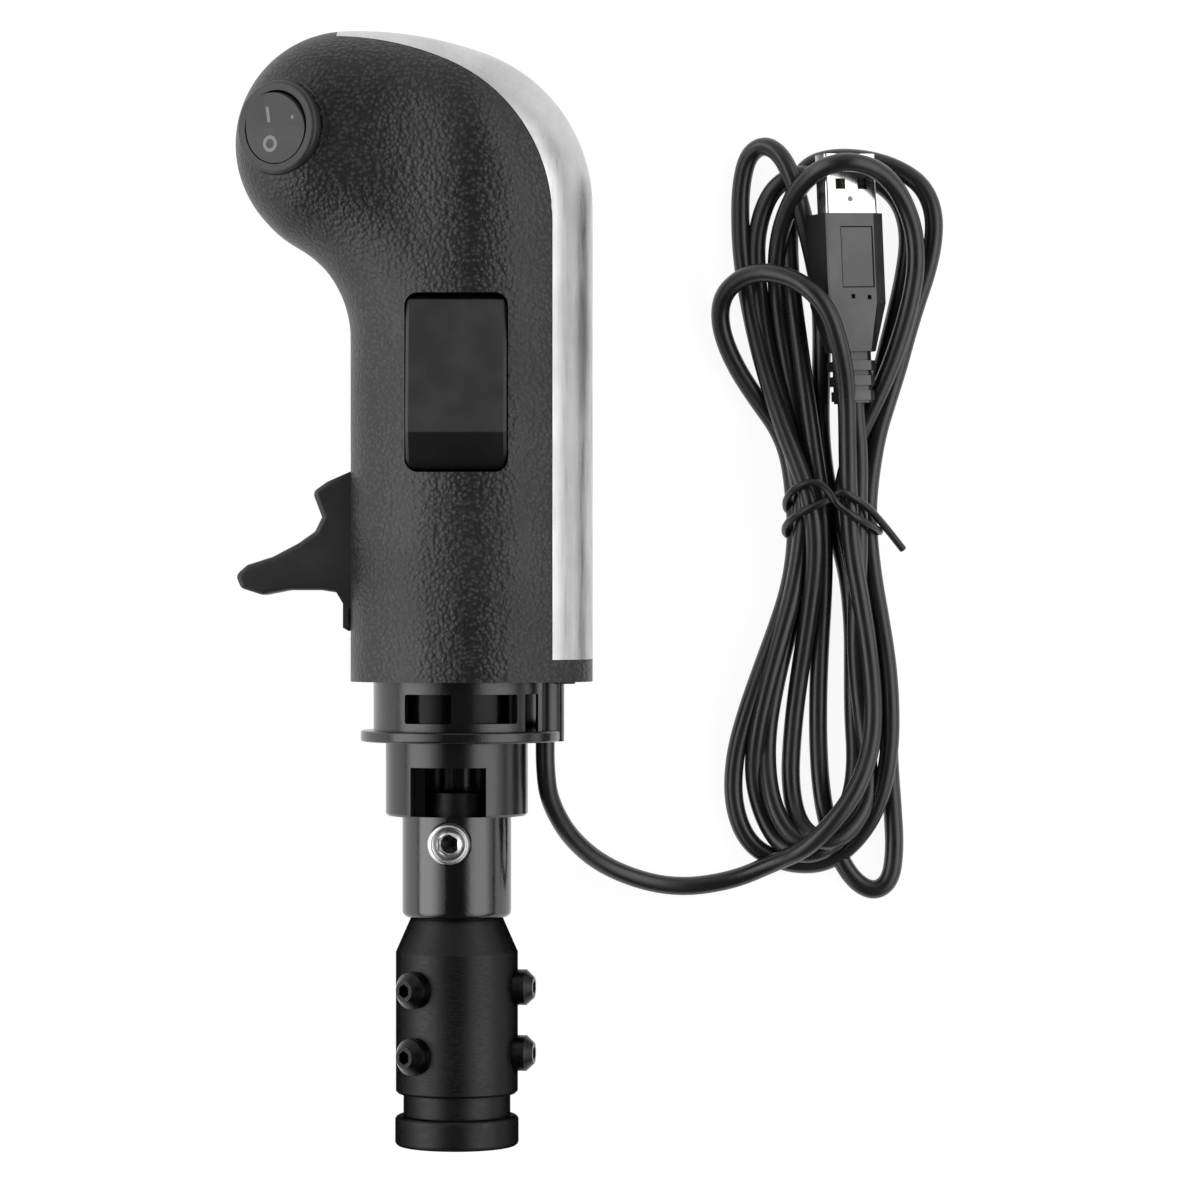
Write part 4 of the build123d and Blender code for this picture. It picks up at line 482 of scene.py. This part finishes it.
# Patterns: how many of each fit in a metre, and how deep they are
handling_scale, cloud_scale, line_depth = 120, 70, 0.00001
pebble_scale, pebble_depth = 1180, 0.00020
uneven_scale, uneven_depth = 1700, 0.00015
patch_scale = 55


def moulded_plastic(name, colour, roughness, spark_size=1500, depth=0.00003, **constants):
    """Smooth moulded plastic with a very fine spark texture and faint handling marks."""
    plastic = plain(name, colour, roughness, **constants)
    spark = noise(plastic, spark_size)
    handling = noise(plastic, handling_scale, detail=4.0)
    vary_colour(plastic, handling, (0.35, 0.7), 0.88, 1.15)
    vary_roughness(plastic, handling, (0.3, 0.7), roughness * 0.88, roughness * 1.15)
    relief(plastic, spark, depth, strength=0.6)
    return plastic


def brushed_metal(name, colour, roughness, stretch=(1, 1, 1), scale=900, **constants):
    """Metal with soft clouding and a fine texture, drawn out into lines where the stretch is least."""
    metal = plain(name, colour, roughness, Metallic=1.0, **constants)
    lines = noise(metal, scale, detail=3.0, stretch=stretch)
    clouds = noise(metal, cloud_scale, detail=3.0)
    vary_colour(metal, clouds, (0.3, 0.7), 0.9, 1.08)
    vary_roughness(metal, lines, (0.3, 0.7), roughness * 0.8, roughness * 1.25)
    relief(metal, lines, depth=line_depth, strength=0.7)
    return metal


# Places on the knob that a finish depends on, and the bumps and painted shade that it draws there
grip_middle_x = 0.0036
crown_width, crown_height = 0.0088, 0.0047
push_end_span, push_end_painted_shade = (-0.45, -0.25), 0.004
screw_low, screw_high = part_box("clamp_screw")
screw_centre = (-0.00104, (screw_low.y + screw_high.y) / 2)
socket_radius, socket_edge, socket_painted_shade = 0.0019, 0.0001, 0.03
socket_span = (screw_high.z - 0.0008, screw_high.z - 0.0003)
dome_radius, dome_edge, dome_height = 0.0020, 0.0016, 0.0011
groove_inner, groove_outer, groove_edge = 0.0027, 0.0033, 0.0003
groove_depth, groove_painted_shade = 0.0006, 0.18
plug_side_span, plug_side_painted_shade = (0.90, 0.985), 0.006
shell_dimple, shell_dimple_radius, shell_dimple_edge = (0.0809, 0.1941), 0.0006, 0.0002
shell_dimple_painted_shade = 0.12
collar_low_y, collar_edge = 0.0825, 0.001
hidden_hub_painted_shade = 0.014


def leather_grain():
    """Grip: moulded black plastic with a soft pebbled grain, rubbed smoother in patches."""
    grip = plain("grip_leather_grain", 0.020, 0.42, Specular_IOR_Level=0.5)
    cells = texture(grip, "ShaderNodeTexVoronoi", pebble_scale)
    cells.feature = "SMOOTH_F1"
    cells.inputs["Smoothness"].default_value = 0.45
    pebbles = cells.outputs["Distance"]
    vary_colour(grip, pebbles, (0.15, 0.55), 1.7, 0.35)
    vary_roughness(grip, noise(grip, patch_scale), (0.35, 0.65), 0.38, 0.46)
    crown(grip, grip_middle_x, crown_width, crown_height)
    relief(grip, noise(grip, uneven_scale), depth=uneven_depth, strength=0.7)
    relief(grip, pebbles, depth=-pebble_depth, strength=0.8)
    return grip


def cap_plastic():
    """Splitter cap: satin dark grey on top, with painted shade on the end that a finger pushes, the end
    that faces -Y.
    """
    cap = moulded_plastic("cap_smooth_grey", 0.030, 0.44)
    tree = cap.node_tree
    # Painted shade: faces that look towards -Y are made darker, as if they were in shade
    push_end = fade(tree, axis_of(tree, "Normal", "Y"), push_end_span, 1.0, 0.0)
    paint_shade(cap, push_end, push_end_painted_shade)
    return cap


def nickel_screw():
    """Clamp screw: bright nickel with a softly domed face, painted shade in its hex socket and a groove
    with painted shade in it.
    """
    screw = brushed_metal("screw_bright_nickel", 0.80, 0.30)
    tree = screw.node_tree
    # Painted shade in the hex socket: darker below the head's top, within the socket's radius
    deep = fade(tree, axis_of(tree, "Object", "Z"), socket_span, 1.0, 0.0)
    socket = combine(tree, "MULTIPLY", round_spot(screw, screw_centre, socket_radius, socket_edge), deep)
    paint_shade(screw, socket, socket_painted_shade)
    relief(screw, round_spot(screw, screw_centre, dome_radius, dome_edge), dome_height)
    groove = combine(
        tree, "SUBTRACT",
        round_spot(screw, screw_centre, groove_outer, groove_edge),
        round_spot(screw, screw_centre, groove_inner, groove_edge),
    )
    relief(screw, groove, -groove_depth)
    # Painted shade in the groove, on top of its bump
    paint_shade(screw, groove, groove_painted_shade)
    return screw


def plug_plastic():
    """Plug body: mid grey satin on its flat face, with painted shade round its sides."""
    plug_grey = moulded_plastic("plug_dark_grey", 0.155, 0.48, 1800, 0.00004, Specular_IOR_Level=0.25)
    tree = plug_grey.node_tree
    # Painted shade: faces that turn away from the plug's up are made darker round its sides
    place = tree.nodes.new("ShaderNodeTexCoord")
    facing = tree.nodes.new("ShaderNodeVectorMath")
    facing.operation = "DOT_PRODUCT"
    facing.inputs[1].default_value = plug_up
    tree.links.new(place.outputs["Normal"], facing.inputs[0])
    paint_shade(plug_grey, fade(tree, facing.outputs["Value"], plug_side_span, 1.0, 0.0), plug_side_painted_shade)
    return plug_grey


def pressed_shell():
    """Plug shell: bright pressed steel, with the shade of one small stamped dimple painted on as a dark
    spot.
    """
    shell = brushed_metal("plug_bright_shell", 0.80, 0.2, (1, 0.1, 1), 1200)
    dimple = round_spot(shell, shell_dimple, shell_dimple_radius, shell_dimple_edge)
    # Painted shade: a dark spot where the dimple's hollow would be shaded
    paint_shade(shell, dimple, shell_dimple_painted_shade)
    return shell


def hub_plastic():
    """Hub sleeve: gloss black below the collar, and painted shade where the collar hides it, as a very
    dark metal.
    """
    hub = moulded_plastic("hub_gloss_black", 0.006, 0.2, Specular_IOR_Level=0.7)
    tree = hub.node_tree
    # Painted shade inside the collar: the sleeve turns to a near-black metal that hardly reflects
    inside = fade(
        tree, axis_of(tree, "Object", "Y"), (collar_low_y, collar_low_y + collar_edge), 0.0, 1.0,
    )
    tree.links.new(inside, shader_input(hub, "Metallic"))
    paint_shade(hub, inside, hidden_hub_painted_shade)
    return hub


finishes = {
    "grip": leather_grain(),
    "trim": brushed_metal("satin_silver_strip", 0.56, 0.34, (1, 0.08, 1), 1400),
    "inner_black": moulded_plastic("inner_black", 0.015, 0.5),
    "collar": moulded_plastic("collar_gloss_black", 0.006, 0.2, Specular_IOR_Level=0.7),
    "lever": moulded_plastic("lever_matte_black", 0.018, 0.5),
    "rocker": cap_plastic(),
    "bezel": moulded_plastic("bezel_black", 0.026, 0.45),
    "adapter": brushed_metal(
        "adapter_black_anodised", 0.034, 0.42, (1, 12, 1), 700, Specular_Tint=(0.1, 0.1, 0.1, 1),
    ),
    "dark_screw": brushed_metal("screw_black_oxide", 0.03, 0.3),
    "bright_screw": nickel_screw(),
    "steel": brushed_metal("plain_steel", 0.5, 0.3),
    "contact_metal": brushed_metal("contact_pale_brass", (0.55, 0.47, 0.34), 0.3),
    "button_red": moulded_plastic("button_red", (0.45, 0.02, 0.02), 0.4),
    "board": moulded_plastic("board_green", (0.01, 0.11, 0.035), 0.35),
    "socket_cream": moulded_plastic("socket_cream", (0.72, 0.66, 0.50), 0.45),
    "loom": moulded_plastic("loom_grey", 0.16, 0.4),
    "cable": moulded_plastic("cable_black_vinyl", 0.0135, 0.3, 900, 0.00004, Specular_IOR_Level=0.6),
    "tie": moulded_plastic("tie_black_coat", 0.012, 0.34),
    "plug": plug_plastic(),
    "plug_shell": pressed_shell(),
    "tongue": moulded_plastic("tongue_dark", 0.04, 0.4),
}
own_finishes = {
    "hub_sleeve": hub_plastic(),
    "core_tube": moulded_plastic("core_gloss_black", 0.004, 0.14, Specular_IOR_Level=1.0),
    "power_rocker": moulded_plastic("rocker_dark_grey", 0.024, 0.42),
}
mark_finish = moulded_plastic("mark_pale_grey", 0.25, 0.5)
for part in frame["record"]["subparts"]:
    node = frame["nodes"][part["node"]]
    finish = own_finishes.get(part["node"], finishes[part["material_slot"]])
    for place in node.material_slots:
        place.material = finish
    if not node.material_slots:
        node.data.materials.append(finish)
cable.data.materials.append(finishes["cable"])
tie_wire.data.materials.append(finishes["tie"])


# Plug: the grey body behind the bright shell. Pairs give a width and a height, or a place or
# two spans, across and along.
weld = 1e-7
up_facing = 0.95
body_width, body_height, body_straight, body_end = 0.0156, 0.0080, 0.0186, 0.0285
left_corner, right_corner = (0.0008, 3), (0.0039, 2)    # offset and steps of the bevels
panel = ((-0.0040, 0.0036), (-0.0154, -0.0027))
panel_wall, panel_depth = 0.00025, 0.00018
dimples = ((-0.0016, -0.0172), (0.0022, -0.0174))
dimple_size, dimple_wall, dimple_depth = 0.0009, 0.00006, 0.0012
strain_width, strain_height = 0.0094, 0.0070
core = (strain_width - 0.0020, strain_height - 0.0016)
neck_length = 0.0019
rib_count, rib_length, rib_gap, last_gap = 3, 0.0020, 0.0011, 0.0005
rib_inset, rib_taper = (0.0003, 0.0002), (0.0005, 0.0003)


def pose_of(across, along, up, place):
    """From a piece's own axes and origin to its place on the knob."""
    pose = Matrix((across, along, up)).transposed().to_4x4()
    pose.translation = place
    return pose


def draw_back(shape, face, step, width, height):
    """Pull an end face back by a step and scale it to a new width and height."""
    end = bmesh.ops.extrude_face_region(shape, geom=[face])["geom"]
    bmesh.ops.delete(shape, geom=[face], context="FACES_ONLY")
    verts = [v for v in end if isinstance(v, bmesh.types.BMVert)]
    across, up = ([v.co[i] for v in verts] for i in (0, 2))
    scale = (width / (max(across) - min(across)), 1, height / (max(up) - min(up)))
    bmesh.ops.scale(shape, verts=verts, vec=scale)
    bmesh.ops.translate(shape, verts=verts, vec=(0, -step, 0))
    return next(f for f in end if isinstance(f, bmesh.types.BMFace))


def cut_across(shape, place, normal):
    """Edges where a plane goes through the shape."""
    everything = list(shape.verts) + list(shape.edges) + list(shape.faces)
    bmesh.ops.bisect_plane(shape, geom=everything, plane_co=place, plane_no=normal, dist=weld)


def top_faces(shape, x_span, y_span):
    """Faces of the flat top whose middle lies in a rectangle."""
    return [
        f for f in shape.faces
        if f.normal.z > up_facing
        and x_span[0] < f.calc_center_median().x < x_span[1]
        and y_span[0] < f.calc_center_median().y < y_span[1]
    ]


def finished_piece(name, shape, finish, pose):
    """Object of a shape with one finish, at the origin, with its mesh moved to its place."""
    bmesh.ops.remove_doubles(shape, verts=shape.verts, dist=weld)
    bmesh.ops.recalc_face_normals(shape, faces=shape.faces)
    bmesh.ops.transform(shape, matrix=pose, verts=shape.verts)
    mesh = bpy.data.meshes.new(name)
    shape.to_mesh(mesh)
    shape.free()
    mesh.materials.append(finish)
    piece = bpy.data.objects.new(name, mesh)
    bpy.context.scene.collection.objects.link(piece)
    return piece


def bevelled_block(shape):
    """Block of the body's straight length, with its long edges rounded on each side."""
    bmesh.ops.create_cube(shape, size=1)
    bmesh.ops.scale(shape, verts=shape.verts, vec=(body_width, body_straight, body_height))
    bmesh.ops.translate(shape, verts=shape.verts, vec=(0, -body_straight / 2, 0))
    for side, (corner, steps) in ((-1, left_corner), (1, right_corner)):
        long_edges = [
            e for e in shape.edges
            if abs(e.verts[0].co.y - e.verts[1].co.y) > body_straight / 2 and side * e.verts[0].co.x > 0
        ]
        bmesh.ops.bevel(
            shape, geom=long_edges, offset=corner, segments=steps,
            affect="EDGES", profile=0.5, material=-1,
        )


def strain_relief(shape):
    """Taper behind the block, a short neck and ribs that get smaller towards the cable."""
    back = min(shape.faces, key=lambda f: f.calc_center_median().y)
    back = draw_back(shape, back, body_end - body_straight, strain_width, strain_height)
    back = draw_back(shape, back, 0.0, *core)
    back = draw_back(shape, back, neck_length, *core)
    for rib in range(rib_count):
        width = strain_width - rib_inset[0] - rib_taper[0] * rib
        height = strain_height - rib_inset[1] - rib_taper[1] * rib
        back = draw_back(shape, back, 0.0, width, height)
        back = draw_back(shape, back, rib_length, width, height)
        back = draw_back(shape, back, 0.0, *core)
        back = draw_back(shape, back, rib_gap if rib < rib_count - 1 else last_gap, *core)


def panel_and_dimples(shape):
    """Sunk panel and two small deep dimples in the flat top."""
    for y in panel[1]:
        cut_across(shape, (0, y, 0), (0, 1, 0))
    for x in panel[0]:
        cut_across(shape, (x, 0, 0), (1, 0, 0))
    shape.faces.ensure_lookup_table()
    bmesh.ops.inset_region(
        shape, faces=top_faces(shape, *panel),
        thickness=panel_wall, depth=-panel_depth, use_even_offset=True,
    )
    half = dimple_size / 2
    for x, y in dimples:
        for side in (-half, half):
            cut_across(shape, (x + side, 0, 0), (1, 0, 0))
            cut_across(shape, (0, y + side, 0), (0, 1, 0))
    for x, y in dimples:
        hole = top_faces(shape, (x - half, x + half), (y - half, y + half))
        bmesh.ops.inset_region(shape, faces=hole, thickness=dimple_wall)
        floor_verts = list({v for f in hole for v in f.verts})
        bmesh.ops.translate(shape, verts=floor_verts, vec=(0, 0, -dimple_depth))


def plug_body():
    """Rounded block with a sunk panel and two dimples, a taper, and a ribbed strain relief."""
    shape = bmesh.new()
    bevelled_block(shape)
    strain_relief(shape)
    panel_and_dimples(shape)
    pose = pose_of(plug_along.cross(plug_up), plug_along, plug_up, plug_mouth)
    return finished_piece("plug_body", shape, finishes["plug"], pose)


# Marks on the round rocker: a bar, a ring and a moulding dot, a hair proud of its face.
# The face is a shallow V whose lowest line crosses it over the hinge.
rocker_hinge = (-0.034975, 0.2056, 0.01897)
rocker_lean, rocker_tilt = radians(30), radians(7)
face_height, face_slope = 0.00130, 0.1
mark_height = 0.00006
bar_size, bar_place = (0.00070, 0.0031), (-0.0013, 0.0027)
ring_outer, ring_inner, ring_place = 0.00166, 0.00095, (-0.0013, -0.0031)
dot_foot, dot_top, dot_place = 0.00040, 0.00036, (0.0044, 0.0019)


def rocker_pose():
    """From the rocker's own axes (across, along the knob, out) to its place at rest."""
    across = Vector((cos(rocker_lean), 0, sin(rocker_lean)))
    out = Vector((-sin(rocker_lean), 0, cos(rocker_lean)))
    tilt = Matrix.Rotation(rocker_tilt, 3, across)
    return pose_of(across, tilt @ Vector((0, 1, 0)), tilt @ out, rocker_hinge)


def rocker_marks():
    """Bar, ring and dot as thin plates that follow the two slopes of the rocker's face."""
    shape = bmesh.new()
    bar = bmesh.ops.create_cube(shape, size=1)["verts"]
    bmesh.ops.scale(shape, verts=bar, vec=(*bar_size, mark_height))
    bmesh.ops.translate(shape, verts=bar, vec=(*bar_place, 0))
    ring = bmesh.ops.create_circle(shape, segments=32, radius=ring_outer)["verts"]
    inner = bmesh.ops.create_circle(shape, segments=32, radius=ring_inner)["verts"]
    edges = list({e for v in ring + inner for e in v.link_edges})
    band = bmesh.ops.bridge_loops(shape, edges=edges)["faces"]
    bmesh.ops.translate(shape, verts=ring + inner, vec=(*ring_place, 0))
    wall = bmesh.ops.extrude_face_region(shape, geom=band)["geom"]
    wall_verts = [v for v in wall if isinstance(v, bmesh.types.BMVert)]
    bmesh.ops.translate(shape, verts=wall_verts, vec=(0, 0, mark_height / 2))
    dot = bmesh.ops.create_cone(
        shape, segments=16, radius1=dot_foot, radius2=dot_top, depth=mark_height, cap_ends=True,
    )["verts"]
    bmesh.ops.translate(shape, verts=dot, vec=(*dot_place, 0))
    for vert in shape.verts:
        vert.co.z += face_height + face_slope * abs(vert.co.y)
    return finished_piece("rocker_marks", shape, mark_finish, rocker_pose())


plug = plug_body()
marks = rocker_marks()

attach(cable, "knob")
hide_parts("cord_lead", "cord_hank")
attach(tie_wire, "knob")
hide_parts("twist_tie")
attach(plug, "knob")
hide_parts("usb_overmold")
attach(marks, "power_rocker")
